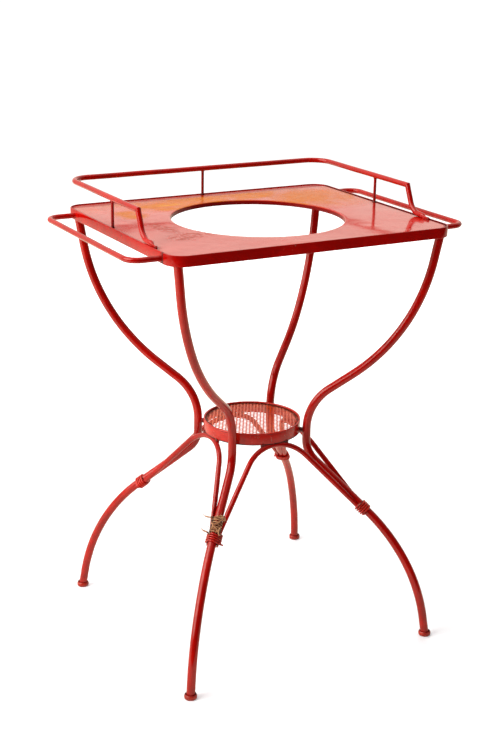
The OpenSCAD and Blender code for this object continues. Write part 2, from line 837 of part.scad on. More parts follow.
// Least distance between the surfaces of loops that lie side by side.
function least_gap(line, d) = min([
    for (i = [0:len(line) - 1 - LOOP_RINGS * 3 / 4])
        for (j = [i + LOOP_RINGS * 3 / 4:min(len(line) - 1, i + LOOP_RINGS * 5 / 4)])
            norm(line[i] - line[j])
]) - d;

// One tube swept along a line as a single closed skin.
module swept_tube(line, d, sides) {
    n = len(line);
    ways = [
        for (i = [0:n - 1])
            unit(line[min(n - 1, i + 1)] - line[max(0, i - 1)])
    ];
    rings = [
        for (i = [0:n - 1])
            let (across = unit(cross(ways[i], shin)), up = cross(across, ways[i]))
            for (k = [0:sides - 1])
                line[i] + d / 2 * (cos(360 * k / sides) * across + sin(360 * k / sides) * up)
    ];
    walls = [
        for (i = [0:n - 2])
            for (k = [0:sides - 1])
                let (a = i * sides + k, b = i * sides + (k + 1) % sides)
                for (half = [0, 1])
                    half == 0 ? [a, b + sides, b] : [a, a + sides, b + sides]
    ];
    lids = [
        for (k = [1:sides - 2])
            for (end = [0, 1])
                end == 0 ? [0, k, k + 1] : [(n - 1) * sides, (n - 1) * sides + k + 1, (n - 1) * sides + k]
    ];
    polyhedron(rings, concat(walls, lids));
}

wire_low = -(wire_loops * (wire_d + loop_gap)) / 2;
wire_line = winding(wire_loops, wire_d, wire_low, 120);
twine_low = -wire_low + wire_d / 2 + twine_d / 2 + 3 * loop_gap;
twine_line = winding(twine_loops, twine_d, twine_low, 200);
echo(least_wire_gap = least_gap(wire_line, wire_d));
echo(least_twine_gap = least_gap(twine_line, twine_d));

module wire_wrap(s) {
    color(deep_red) mirrored(s) swept_tube(wire_line, wire_d, WIRE_SIDES);
}

module twine_binding() {
    color(twine_brown) mirrored(FL) swept_tube(twine_line, twine_d, WIRE_SIDES);
}

tray_rim();
tray_plate();
corner_gusset(FL);  // corner_gusset_front_left
corner_gusset(FR);  // corner_gusset_front_right
corner_gusset(RL);  // corner_gusset_rear_left
corner_gusset(RR);  // corner_gusset_rear_right
leg(FL);  // leg_front_left
leg(FR);  // leg_front_right
leg(RL);  // leg_rear_left
leg(RR);  // leg_rear_right
foot_cup(FL);  // foot_cup_front_left
foot_cup(FR);  // foot_cup_front_right
foot_cup(RL);  // foot_cup_rear_left
foot_cup(RR);  // foot_cup_rear_right
gallery_rail();
gallery_end(-1);  // gallery_end_left
gallery_end(1);  // gallery_end_right
gallery_post(POSTS[0]);  // gallery_post_rear
gallery_post(POSTS[1]);  // gallery_post_left
gallery_post(POSTS[2]);  // gallery_post_right
gallery_tab_rivets();
towel_rail(-1);  // towel_rail_left
towel_rail(1);  // towel_rail_right
towel_rail_nuts();
shelf_hoop();
shelf_grille();
grille_ring();
shelf_studs();
shelf_spacers();
arch_rod(flip_all(rear_arch(), FR), 1, FL, FR);  // arch_rod_front
arch_rod(rear_arch(), 1, RL, RR);  // arch_rod_rear
arch_rod(flip_all(side_arch(), RL), -1, FL, RL);  // arch_rod_left
arch_rod(side_arch(), -1, FR, RR);  // arch_rod_right
arch_lugs();
wire_wrap(FL);  // wire_wrap_front_left
wire_wrap(FR);  // wire_wrap_front_right
wire_wrap(RL);  // wire_wrap_rear_left
wire_wrap(RR);  // wire_wrap_rear_right
twine_binding();
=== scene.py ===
# %% [markdown]
# # An iron wash basin stand in old red enamel
# The stand is a shop-made piece: four bent tubes, rods for the rails, a sheet
# tray in a flat-bar rim and a perforated shelf, all under one coat of red
# that has aged under water and soap. The measured model comes in first as a
# fixed frame, so every piece below goes where that frame says. Lengths in
# this lesson are millimetres, and the mesh builder turns them into metres.

# %% Load the measured frame
import math

import bpy
import numpy as np
from mathutils import Matrix, Vector, noise


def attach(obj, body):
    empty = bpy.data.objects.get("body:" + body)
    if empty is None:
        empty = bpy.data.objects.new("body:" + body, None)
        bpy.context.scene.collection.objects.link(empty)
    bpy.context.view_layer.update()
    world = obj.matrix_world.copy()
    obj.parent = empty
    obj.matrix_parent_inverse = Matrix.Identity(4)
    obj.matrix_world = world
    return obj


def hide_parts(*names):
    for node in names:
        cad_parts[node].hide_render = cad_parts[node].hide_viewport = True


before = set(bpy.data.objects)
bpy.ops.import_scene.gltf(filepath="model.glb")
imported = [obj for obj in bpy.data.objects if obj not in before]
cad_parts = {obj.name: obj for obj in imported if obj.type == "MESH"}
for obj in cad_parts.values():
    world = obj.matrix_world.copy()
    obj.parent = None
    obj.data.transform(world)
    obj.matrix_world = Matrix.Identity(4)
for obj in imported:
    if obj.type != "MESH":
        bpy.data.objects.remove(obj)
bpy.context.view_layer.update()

# %% [markdown]
# ## Camera
# The photograph was taken from the front left, a little above the tray, from
# nearly three metres with a long lens. A camera can be aimed with a track
# constraint or by its matrix. The matrix is used here, because the picture is
# also rolled by one degree, and a constraint would take that out.

# %% Stand the camera where the photographer stood
CAMERA_AWAY, CAMERA_ROUND, CAMERA_UP, CAMERA_ROLL = 2.6753, -29.33, 18.43, 1.056
AIM_HEIGHT, AIM_LEFT = 0.4875, 0.0013
FOCAL_PIXELS, PICTURE_HEIGHT = 1412.25, 756


def camera_axes():
    """Right, up and backward of the rolled camera, and right before the roll."""
    a, e, r = (math.radians(v) for v in (CAMERA_ROUND, CAMERA_UP, CAMERA_ROLL))
    back = Vector((math.sin(a) * math.cos(e), -math.cos(a) * math.cos(e), math.sin(e)))
    right = (-back).cross(Vector((0, 0, 1))).normalized()
    up = right.cross(-back)
    return (right * math.cos(r) + up * math.sin(r),
            up * math.cos(r) - right * math.sin(r), back, right)


right, up, back, level = camera_axes()
camera = bpy.data.objects.new("camera", bpy.data.cameras.new("camera"))
bpy.context.scene.collection.objects.link(camera)
camera.matrix_world = Matrix.Translation(
    Vector((0, 0, AIM_HEIGHT)) - AIM_LEFT * level + CAMERA_AWAY * back
) @ Matrix((right, up, back)).transposed().to_4x4()
camera.data.lens = FOCAL_PIXELS * camera.data.sensor_width / PICTURE_HEIGHT
camera.data.clip_end = 50
bpy.context.scene.camera = camera
bpy.context.scene.view_settings.view_transform = "Standard"
print("camera at", camera.matrix_world.translation, "lens", round(camera.data.lens, 2))

# %% [markdown]
# ## Small tools for shader nodes
# Node trees can be drawn by hand or written. Written, they need many lines
# unless one helper makes a node, sets it and joins it at once. Effects that
# several finishes share become node groups with named sockets.

# %% Node helpers
def place(tree, kind, inputs=None, **settings):
    """A new node: settings first, then each input as a link or a value."""
    made = tree.nodes.new(kind)
    for key, value in settings.items():
        setattr(made, key, value)
    for key, value in (inputs or {}).items():
        if isinstance(value, bpy.types.NodeSocket):
            tree.links.new(value, made.inputs[key])
        else:
            made.inputs[key].default_value = value
    return made


def sums(tree, operation, *values, clamp=False):
    """The result of one Math node on sockets or numbers."""
    return place(tree, "ShaderNodeMath", dict(enumerate(values)),
                 operation=operation, use_clamp=clamp).outputs[0]


def times(tree, first, second):
    return sums(tree, "MULTIPLY", first, second)


def plus(tree, first, second):
    return sums(tree, "ADD", first, second)


def most(tree, first, *others):
    """The highest of several values."""
    for other in others:
        first = sums(tree, "MAXIMUM", first, other)
    return first


def vector_sum(tree, operation, *inputs, give=0):
    """One output of a Vector Math node."""
    return place(tree, "ShaderNodeVectorMath", dict(enumerate(inputs)),
                 operation=operation).outputs[give]


def blend_colour(tree, share, first, second):
    """One colour mixed into another by a share."""
    return place(tree, "ShaderNodeMix", {0: share, 6: first, 7: second},
                 data_type="RGBA").outputs[2]


def ramp(tree, value, low, high, start=0.0, end=1.0):
    """A value carried smoothly from the range low to high into start to end."""
    return place(tree, "ShaderNodeMapRange",
                 {0: value, 1: low, 2: high, 3: start, 4: end},
                 interpolation_type="SMOOTHSTEP").outputs[0]


def speckle(tree, where, scale, detail, rough=0.5, warp=0.0):
    """A noise value at a place, with a scale in waves to the metre."""
    return place(tree, "ShaderNodeTexNoise",
                 {"Vector": where, "Scale": scale, "Detail": detail,
                  "Roughness": rough, "Distortion": warp}).outputs[0]


def linear(red, green, blue):
    """A colour read from a screen, 0 to 255, as the light that a shader takes."""
    return (*((v / 255 / 12.92 if v <= 10 else ((v / 255 + 0.055) / 1.055) ** 2.4)
              for v in (red, green, blue)), 1.0)


def empty_tree(owner):
    """The emptied node tree of a new material or world."""
    owner.use_nodes = True
    owner.node_tree.nodes.clear()
    return owner.node_tree


def shared_effect(name, takes, gives):
    """An empty node group with its inputs and outputs, and the two end nodes."""
    group = bpy.data.node_groups.new(name, "ShaderNodeTree")
    kinds = {"value": "NodeSocketFloat", "colour": "NodeSocketColor",
             "vector": "NodeSocketVector"}
    for label, kind, start in takes:
        socket = group.interface.new_socket(label, in_out="INPUT", socket_type=kinds[kind])
        if start is not None:
            socket.default_value = start
    for label, kind in gives:
        group.interface.new_socket(label, in_out="OUTPUT", socket_type=kinds[kind])
    return (group, group.nodes.new("NodeGroupInput").outputs,
            group.nodes.new("NodeGroupOutput").inputs)


def close_effect(group, gives, **results):
    """Each result joined to the group's output of that name."""
    for label, result in results.items():
        group.links.new(result, gives[label])
    print("group", group.name, "gives", list(results))


print("node helpers ready")

# %% [markdown]
# ## Studio
# The photograph has a white floor and wall that run into each other, a large
# soft light high on the left, a bright wall behind on the right that the tray
# mirrors, and a dark room in front. Emission in the floor and the world could
# simply be turned up, but that would also light the stand. So only rays from
# the camera and mirrored rays see the full white, and lamps do the lighting.

# %% White floor that keeps its shadow
MIRRORED_DIM_FROM, MIRRORED_DIM_TO = -1.7, -0.35
GLOW_NEAR, GLOW_FAR, GLOW_LEAST, GLOW_MOST = 0.4, 2.6, 0.30, 0.85
WHITE, WARM_FLOOR, WARM_ROOM = (1, 1, 1, 1), (0.8, 0.71, 0.56, 1), (1, 0.88, 0.77, 1)


def floor_finish():
    finish = bpy.data.materials.new("white_floor")
    tree = empty_tree(finish)
    path = place(tree, "ShaderNodeLightPath").outputs
    spot = place(tree, "ShaderNodeTexCoord").outputs["Object"]
    depth = place(tree, "ShaderNodeSeparateXYZ", {0: spot}).outputs[1]
    dim = ramp(tree, depth, MIRRORED_DIM_FROM, MIRRORED_DIM_TO)
    mirrored = path["Is Glossy Ray"]
    seen = most(tree, path["Is Camera Ray"], most(tree, mirrored, path["Is Transmission Ray"]))
    keep = plus(tree, times(tree, mirrored, dim), sums(tree, "SUBTRACT", 1.0, mirrored))
    grain = ramp(tree, speckle(tree, spot, 3.0, 4.0), 0.3, 0.7, 0.80, 0.84)
    warm = blend_colour(tree, mirrored, WHITE, WARM_FLOOR)
    keep = times(tree, grain, keep)
    paint = place(tree, "ShaderNodeBsdfDiffuse",
                  {"Color": place(tree, "ShaderNodeVectorMath", {0: warm, "Scale": keep},
                                  operation="SCALE").outputs[0]})
    far = ramp(tree, vector_sum(tree, "LENGTH", spot, give="Value"),
               GLOW_NEAR, GLOW_FAR, GLOW_LEAST, GLOW_MOST)
    glow = place(tree, "ShaderNodeEmission",
                 {"Color": warm, "Strength": times(tree, times(tree, seen, keep), far)})
    both = place(tree, "ShaderNodeAddShader", {0: paint.outputs[0], 1: glow.outputs[0]})
    place(tree, "ShaderNodeOutputMaterial", {"Surface": both.outputs[0]})
    return finish


def lay_floor(half=14.0, across=24):
    """A wide sheet whose far edge curls up a little, as studio paper does."""
    flat_reach, curl, row = 8.0, 0.02, across + 1
    steps = np.linspace(-half, half, row)
    corners = [(x, y, curl * max(0.0, math.hypot(x, y) - flat_reach) ** 2)
               for y in steps for x in steps]
    cells = [(j * row + i, j * row + i + 1, (j + 1) * row + i + 1, (j + 1) * row + i)
             for j in range(across) for i in range(across)]
    mesh = bpy.data.meshes.new("studio_floor")
    mesh.from_pydata(corners, [], cells)
    mesh.polygons.foreach_set("use_smooth", [True] * len(cells))
    mesh.materials.append(floor_finish())
    floor = bpy.data.objects.new("studio_floor", mesh)
    bpy.context.scene.collection.objects.link(floor)
    return floor


floor = lay_floor()
print("floor of", len(floor.data.polygons), "cells")

# %% Surroundings: white to the camera, dim in front, bright behind
BRIGHT_WAY, SOFT_BOX_WAY = (0.1, 1.0, 0.8), (-0.80, 0.10, 0.59)
SOFT_BOX_EDGE, SOFT_BOX_STRENGTH = (0.85, 0.89), 4.2
AMBIENT_LEAST, AMBIENT_MOST = 0.26, 0.5


def surroundings():
    world = bpy.data.worlds.new("studio")
    bpy.context.scene.world = world
    tree = empty_tree(world)
    path = place(tree, "ShaderNodeLightPath").outputs
    way = place(tree, "ShaderNodeTexCoord").outputs["Generated"]
    behind = vector_sum(tree, "DOT_PRODUCT", way, BRIGHT_WAY, give="Value")
    to_box = vector_sum(tree, "DOT_PRODUCT", way, SOFT_BOX_WAY, give="Value")
    mirror = plus(tree, ramp(tree, behind, -0.35, 0.95),
                  ramp(tree, to_box, *SOFT_BOX_EDGE, 0.0, SOFT_BOX_STRENGTH))
    mirrored = most(tree, path["Is Glossy Ray"], path["Is Transmission Ray"])
    ambient = ramp(tree, behind, -0.9, 1.1, AMBIENT_LEAST, AMBIENT_MOST)
    strength = plus(tree, times(tree, mirrored, mirror),
                    times(tree, sums(tree, "SUBTRACT", 1.0, mirrored), ambient))
    strength = most(tree, strength, path["Is Camera Ray"])
    tint = blend_colour(tree, mirrored, WHITE, WARM_ROOM)
    glow = place(tree, "ShaderNodeBackground", {"Strength": strength, "Color": tint})
    place(tree, "ShaderNodeOutputWorld", {"Surface": glow.outputs[0]})


surroundings()
print("surroundings set")

# %% Three soft lamps
def soft_lamp(name, at, aim, width, height, watts):
    lamp = bpy.data.objects.new(name, bpy.data.lights.new(name, "AREA"))
    lamp.data.shape, lamp.data.size, lamp.data.size_y = "RECTANGLE", width, height
    lamp.data.energy = watts
    lamp.visible_camera = lamp.visible_glossy = False
    lamp.matrix_world = Matrix.Translation(at) @ (
        Vector(at) - Vector(aim)).to_track_quat("Z", "Y").to_matrix().to_4x4()
    bpy.context.scene.collection.objects.link(lamp)
    return lamp


lamps = [
    soft_lamp("lamp_left", (-2.7, 0.3, 2.1), (0, 0, 0.45), 2.4, 2.6, 116),
    soft_lamp("lamp_above", (-0.3, 0.9, 3.1), (0, 0, 0.5), 2.2, 1.6, 38),
    soft_lamp("lamp_behind", (2.3, 2.6, 1.9), (0, 0, 0.7), 2.6, 2.2, 58),
]
print([lamp.name for lamp in lamps])

# %% [markdown]
# ## What old enamel looks like
# The red was brushed on thick. It shines, it has a faint orange peel and brush
# streaks, its red wanders between fresh and dull, and it has come off in small
# chips that show dark rusty iron with a paler rim of undercoat. Image textures
# could show this, but they need unwrapped meshes. Noise in the space of the
# object works on every piece, so the same spot has the same wear on two
# pieces that meet there.

# %% Shared effect: wandering red
wander, takes, gives = shared_effect(
    "wandering_red",
    [("Where", "vector", None), ("Fresh", "colour", linear(190, 20, 14)),
     ("Dull", "colour", linear(150, 12, 10)), ("Shine", "value", 0.2),
     ("Spread", "value", 0.12)],
    [("Color", "colour"), ("Roughness", "value")])
cloud = speckle(wander, takes["Where"], 9.0, 4.0, 0.6, 0.4)
fine_cloud = speckle(wander, takes["Where"], 70.0, 3.0, 0.6)
share = ramp(wander, plus(wander, times(wander, cloud, 0.7), times(wander, fine_cloud, 0.3)),
             0.36, 0.64)
uneven = times(wander, takes["Spread"], ramp(wander, fine_cloud, 0.35, 0.7))
close_effect(wander, gives, Color=blend_colour(wander, share, takes["Fresh"], takes["Dull"]),
             Roughness=plus(wander, takes["Shine"], uneven))

# %% Shared effect: chips down to rusty iron
RUSTY_IRON, RUST_FLECK = linear(58, 26, 18), linear(104, 52, 30)
UNDERCOAT = linear(226, 150, 128)
chipped, takes, gives = shared_effect(
    "chips",
    [("Where", "vector", None), ("Over", "colour", None), ("Roughness", "value", 0.2),
     ("Bare", "colour", RUSTY_IRON), ("Undercoat", "colour", UNDERCOAT),
     ("Amount", "value", 0.5), ("Rubbed", "value", 0.0), ("Scale", "value", 260.0)],
    [("Color", "colour"), ("Roughness", "value"), ("Height", "value")])
flakes = speckle(chipped, takes["Where"], takes["Scale"], 3.0, 0.62)
zones = speckle(chipped, takes["Where"], times(chipped, takes["Scale"], 0.11), 2.0)
level = plus(chipped, times(chipped, flakes, 0.62), times(chipped, zones, 0.38))
level = plus(chipped, level, times(chipped, takes["Rubbed"], 0.2))
level = plus(chipped, level, times(chipped, takes["Amount"], 0.1))
bare = ramp(chipped, level, 0.735, 0.748)
rim = sums(chipped, "SUBTRACT", ramp(chipped, level, 0.722, 0.735), bare, clamp=True)
under = blend_colour(chipped, rim, takes["Over"], takes["Undercoat"])
mottle = blend_colour(
    chipped, ramp(chipped, speckle(chipped, takes["Where"], 900.0, 2.0), 0.35, 0.65),
    takes["Bare"], RUST_FLECK)
close_effect(chipped, gives, Color=blend_colour(chipped, bare, under, mottle),
             Roughness=sums(chipped, "ADD", takes["Roughness"], times(chipped, bare, 0.5),
                            clamp=True),
             Height=times(chipped, bare, -1.0))

# %% Shared effect: grime and painted shade in corners
grime_and_shade_effect, takes, gives = shared_effect(
    "grime_and_shade",
    [("Where", "vector", None), ("Over", "colour", None), ("Roughness", "value", 0.2),
     ("Grime_and_shade", "value", 0.0)],
    [("Color", "colour"), ("Roughness", "value"), ("Clean", "value")])
clots = speckle(grime_and_shade_effect, takes["Where"], 240.0, 3.0, 0.6)
held = sums(grime_and_shade_effect, "MULTIPLY", takes["Grime_and_shade"], ramp(grime_and_shade_effect, clots, 0.25, 0.55, 0.7, 1.0),
            clamp=True)
# Dark red-brown that stands for dirt and for painted shade in joints, hollows and gaps
close_effect(grime_and_shade_effect, gives, Color=blend_colour(grime_and_shade_effect, held, takes["Over"], linear(44, 8, 7)),
             Roughness=sums(grime_and_shade_effect, "ADD", takes["Roughness"], times(grime_and_shade_effect, held, 0.5),
                            clamp=True),
             Clean=sums(grime_and_shade_effect, "SUBTRACT", 1.0, held, clamp=True))

# %% Shared effect: brushed skin of the enamel
brushed, takes, gives = shared_effect(
    "brushed_skin",
    [("Where", "vector", None), ("Peel", "value", 0.5), ("Waves", "value", 0.5),
     ("Below", "value", 0.0)],
    [("Height", "value")])
peel = times(brushed, speckle(brushed, takes["Where"], 420.0, 2.0, 0.5), takes["Peel"])
waves = times(brushed, speckle(brushed, takes["Where"], 38.0, 2.0, 0.5), takes["Waves"])
close_effect(brushed, gives, Height=plus(brushed, plus(brushed, peel, waves), takes["Below"]))

# %% [markdown]
# ## Finishes
# Each finish places the shared effects with its own values and ends in its own
# Principled shader. Two numbers are written on every point of the meshes:
# "rubbed" where hands, water and neighbours wear the paint, and a darkening
# that stands for grime and for painted shade: in joints, corners, under beads
# and between turns of wire and twine, where little light reaches. The specular
# level is the same all over a finish, so it is set on the shader's own socket.

# %% One maker for the enamel finishes
def use(tree, group, inputs):
    """One shared effect placed in a finish."""
    return place(tree, "ShaderNodeGroup", inputs, node_tree=group).outputs


def new_finish(name):
    finish = bpy.data.materials.new(name)
    tree = empty_tree(finish)
    where = place(tree, "ShaderNodeTexCoord").outputs["Object"]
    rubbed, grime_and_shade = (place(tree, "ShaderNodeAttribute", attribute_name=label).outputs["Fac"]
                     for label in ("rubbed", "grime_and_shade"))
    return finish, tree, where, rubbed, grime_and_shade


def weathered(tree, where, rubbed, grime_and_shade, colour, roughness, amount, scale, peel, waves, **more):
    """Chips, brushed skin, and grime with painted shade laid over a colour, as the outputs of the
    grime and shade effect and a height.
    """
    worn = use(tree, chipped, {"Where": where, "Over": colour, "Roughness": roughness,
                               "Amount": amount, "Rubbed": rubbed, "Scale": scale, **more})
    skin = use(tree, brushed, {"Where": where, "Peel": peel, "Waves": waves,
                               "Below": worn["Height"]})
    grimed_and_shaded = use(tree, grime_and_shade_effect, {"Where": where, "Over": worn["Color"],
                              "Roughness": worn["Roughness"], "Grime_and_shade": grime_and_shade})
    return grimed_and_shaded, skin["Height"]


def close_finish(tree, colour, roughness, height, distance=0.0002, **others):
    """Principled shader and output. others holds values or links for further sockets."""
    bump = place(tree, "ShaderNodeBump",
                 {"Height": height, "Distance": distance, "Strength": 1.0})
    shader = place(tree, "ShaderNodeBsdfPrincipled",
                   {"Base Color": colour, "Roughness": roughness, "Normal": bump.outputs[0],
                    **{socket.replace("_", " "): value for socket, value in others.items()}})
    place(tree, "ShaderNodeOutputMaterial", {"Surface": shader.outputs[0]})


def enamel(name, fresh, dull, amount, shine=0.07, spread=0.06, scale=260.0, waves=0.7,
           specular=0.459):
    """An enamel finish between two reds, with chips by amount and scale."""
    finish, tree, where, rubbed, grime_and_shade = new_finish(name)
    red = use(tree, wander, {"Where": where, "Fresh": linear(*fresh), "Dull": linear(*dull),
                             "Shine": shine, "Spread": spread})
    grimed_and_shaded, height = weathered(tree, where, rubbed, grime_and_shade, red["Color"], red["Roughness"],
                              amount, scale, 0.25, waves)
    close_finish(tree, grimed_and_shaded["Color"], grimed_and_shaded["Roughness"], height, Specular_IOR_Level=specular)
    print("finish", name)
    return finish


RED, DULL_RED = (178, 10, 5), (152, 7, 3)
rail_enamel = enamel("rail_enamel", RED, DULL_RED, amount=0.1)
frame_enamel = enamel("frame_enamel", (182, 14, 6), (154, 8, 4), shine=0.05, spread=0.05,
                      amount=0.25)
shelf_enamel = enamel("shelf_enamel", (204, 30, 16), (164, 18, 10), shine=0.16, amount=0.35)
rim_enamel = enamel("rim_enamel", RED, DULL_RED, amount=0.12, waves=1.2, specular=0.27)
# A darker red for the small fasteners: dirt and painted shade in the gaps where they sit
painted_fasteners = enamel("painted_fasteners", (124, 16, 9), (84, 10, 7), shine=0.3,
                           amount=0.6, scale=420.0)
painted_wire = enamel("painted_wire", (206, 34, 18), (168, 20, 11), shine=0.14, amount=0.5,
                      scale=420.0)
# A darker copy of the shelf red for the wire ring under the disc: painted shade
shaded_ring_enamel = enamel("shaded_ring_enamel", (104, 18, 10), (70, 12, 8), shine=0.45, amount=0.4)

# %% [markdown]
# ## Worn sheet of the tray
# Years of splashing have bleached the tray behind the hole. The red there is
# thin and lets an orange undercoat through, with yellower scraped streaks. A
# strip along the rear edge and the turned edge of the hole kept their red.
# The sheet still mirrors the posts, so it has a clear coat where it is whole.
# The stain is a mask of a few soft patches, broken by noise, and the patches
# sit at places in the tray and not at places in the picture.

# %% Shared effect: soft patch on the tray
patch, takes, gives = shared_effect(
    "soft_patch",
    [("Where", "vector", None), ("Centre", "vector", (0, 0, 0)),
     ("Stretch", "vector", (1, 1, 1)), ("Edge", "value", 0.5)],
    [("Mask", "value")])
offset = vector_sum(patch, "SUBTRACT", takes["Where"], takes["Centre"])
scaled = vector_sum(patch, "MULTIPLY", offset, takes["Stretch"])
away = vector_sum(patch, "LENGTH", scaled, give="Value")
uneven = sums(patch, "SUBTRACT", speckle(patch, takes["Where"], 20.0, 3.0, 0.5, 0.4), 0.5)
ragged = plus(patch, away, times(patch, uneven, 1.2))
close_effect(patch, gives, Mask=ramp(patch, ragged, 1.0, takes["Edge"]))

# %% Finish of the tray sheet
BLEACHED, SCRAPED, SMEARED = linear(192, 104, 24), linear(202, 128, 34), linear(150, 44, 24)
REAR_RED, TURNED_RED = linear(160, 12, 6), linear(138, 6, 3)
FACE_FROM, FACE_TO, REAR_FROM, REAR_TO = 0.7968, 0.7978, 0.2000, 0.2070
BLEACHED_SPOTS = ((-10, 196, 200, 40), (-102, 154, 98, 62), (84, 176, 100, 52),
                  (140, 96, 36, 70), (-206, 108, 40, 50))
FADED_SPOTS = ((-10, 196, 330, 110, 0.1), (185, 120, 170, 140, 0.1))
SCRAPED_SPOTS = ((-92, 160, 46, 15, 0.2), (-104, 144, 32, 9, 0.2))
SMEARED_SPOTS = ((-186, -96, 60, 40), (-196, -20, 24, 60))


def tray_finish():
    finish, tree, where, rubbed, grime_and_shade = new_finish("tray_enamel")
    red = use(tree, wander, {"Where": where, "Fresh": linear(196, 30, 18),
                             "Dull": linear(180, 18, 12), "Shine": 0.11, "Spread": 0.16})

    def spot(x, y, long, wide, edge=0.35):
        return use(tree, patch, {"Where": where, "Centre": (x / 1000, y / 1000, 0.798),
                                 "Stretch": (1000 / long, 1000 / wide, 0),
                                 "Edge": edge})["Mask"]

    streaky = speckle(tree, vector_sum(tree, "MULTIPLY", where, (14, 60, 30)),
                      1.0, 3.0, 0.55, 0.8)
    bleached = times(tree, most(tree, *(spot(*each) for each in BLEACHED_SPOTS)),
                     ramp(tree, streaky, 0.28, 0.62, 0.7, 1.0))
    faded = most(tree, *(times(tree, spot(*each), 0.9) for each in FADED_SPOTS))
    _, depth, rise = place(tree, "ShaderNodeSeparateXYZ", {0: where}).outputs
    face = ramp(tree, rise, FACE_FROM, FACE_TO)
    rear = ramp(tree, depth, REAR_FROM, REAR_TO)
    worn = times(tree, most(tree, bleached, faded), times(
        tree, face, sums(tree, "SUBTRACT", 1.0, times(tree, rear, 0.92))))
    scraped = times(tree, most(tree, *(spot(*each) for each in SCRAPED_SPOTS)),
                    ramp(tree, streaky, 0.42, 0.56))
    smear = times(tree, most(tree, *(spot(*each) for each in SMEARED_SPOTS)),
                  ramp(tree, speckle(tree, where, 120.0, 4.0, 0.7), 0.40, 0.60, 0.1, 0.9))
    colour = blend_colour(tree, rear, red["Color"], REAR_RED)
    colour = blend_colour(tree, face, TURNED_RED, colour)
    for mask, stain in ((worn, BLEACHED), (scraped, SCRAPED), (smear, SMEARED)):
        colour = blend_colour(tree, mask, colour, stain)
    grimed_and_shaded, height = weathered(
        tree, where, rubbed, grime_and_shade, colour, plus(tree, red["Roughness"], times(tree, worn, 0.16)),
        amount=0.1, scale=320.0, peel=0.25, waves=1.5)
    spoilt = most(tree, most(tree, smear, times(tree, rear, 0.96)), most(tree, worn, scraped))
    whole = times(tree, sums(tree, "SUBTRACT", 1.0, spoilt, clamp=True),
                  ramp(tree, rise, FACE_FROM, FACE_TO, 0.25, 1.0))
    close_finish(tree, grimed_and_shaded["Color"], grimed_and_shaded["Roughness"], height, 0.00016,
                 Specular_IOR_Level=0.06, Coat_Roughness=0.1,
                 Coat_Weight=times(tree, times(tree, whole, 0.86), grimed_and_shaded["Clean"]))
    return finish


tray_enamel = tray_finish()
print("finish", tray_enamel.name)

# %% [markdown]
# ## Finishes of the feet and of the twine
# The feet stand on wet floors: their enamel is rubbed through to brown iron,
# most at the rim that meets the floor. The twine is dry jute, the colour of
# straw and dust, with darker lay between its fibres.

# %% Worn cups and jute
WET_HEIGHT = 0.007


def foot_finish():
    finish, tree, where, rubbed, grime_and_shade = new_finish("worn_foot_enamel")
    red = use(tree, wander, {"Where": where, "Fresh": linear(188, 40, 20),
                             "Dull": linear(150, 26, 14), "Shine": 0.2, "Spread": 0.2})
    rise = place(tree, "ShaderNodeSeparateXYZ", {0: where}).outputs[2]
    low = ramp(tree, rise, 0.0, WET_HEIGHT, 0.75, 0.0)
    grimed_and_shaded, height = weathered(
        tree, where, plus(tree, low, rubbed), grime_and_shade, red["Color"], red["Roughness"],
        amount=0.5, scale=340.0, peel=1.0, waves=1.6, Bare=linear(84, 38, 24))
    close_finish(tree, grimed_and_shaded["Color"], grimed_and_shaded["Roughness"], height, 0.0003)
    return finish


def jute_finish():
    finish, tree, where, _, grime_and_shade = new_finish("twine")
    fibres = speckle(tree, where, 1500.0, 3.0, 0.7, 0.5)
    tufts = speckle(tree, where, 160.0, 3.0, 0.6)
    colour = blend_colour(tree, ramp(tree, tufts, 0.36, 0.62), linear(178, 108, 60),
                          linear(238, 178, 124))
    colour = blend_colour(tree, ramp(tree, fibres, 0.34, 0.6, 0.75, 0.0), colour,
                          linear(58, 28, 16))
    # The darkening attribute turns the jute near black: painted shade on its sides and where it
    # lies against the leg
    colour = blend_colour(tree, times(tree, grime_and_shade, 0.85), colour, linear(52, 16, 8))
    close_finish(tree, colour, ramp(tree, fibres, 0.3, 0.7, 0.8, 0.98), fibres, 0.0004,
                 Sheen_Weight=0.25)
    return finish


worn_foot_enamel, twine_jute = foot_finish(), jute_finish()
print("finishes", worn_foot_enamel.name, twine_jute.name)

# %% [markdown]
# ## Tools for bent bars
# Every rod and tube was bent cold round a former: straight, true arc,
# straight. A curve object with a bevel could draw that, but its corners are
# splines. Here the centre line is worked out arc by arc, and a ring of points
# is carried along it, so that the bar can be flattened, dented or cut. Hand
# bending leaves a bar a little off true. Plain noise read three times does
# that, because the noise that gives a vector at once depends on the clock.

# %% Centre line, rings and skin
def unit(v):
    return v / np.linalg.norm(v)


def bent_line(corners, runs, step=7.0):
    """Centre line of a bar bent in true arcs. A run is from a corner to its arc's ends."""
    corners = [np.array(c, float) for c in corners]
    ways = [unit(b - a) for a, b in zip(corners, corners[1:])]
    line, here = [corners[0]], corners[0]

    def straight_to(there):
        count = max(1, round(np.linalg.norm(there - here) / step))
        line.extend(here + (there - here) * k / count for k in range(1, count + 1))

    for corner, run, a, b in zip(corners[1:], runs, ways, ways[1:]):
        turn = math.acos(max(-1.0, min(1.0, a @ b)))
        radius = run / math.tan(turn / 2)
        straight_to(corner - run * a)
        start = corner - run * a
        inward = unit(b - (a @ b) * a)
        centre = start + radius * inward
        count = max(4, round(turn * radius / step), round(turn / 0.12))
        for k in range(1, count + 1):
            angle = turn * k / count
            line.append(centre - radius * inward * math.cos(angle)
                        + radius * a * math.sin(angle))
        here = corner + run * b
    straight_to(corners[-1])
    return np.array(line)


def along(line):
    """Unit direction at each point of a line."""
    ways = np.gradient(line, axis=0)
    return ways / np.linalg.norm(ways, axis=1)[:, None]


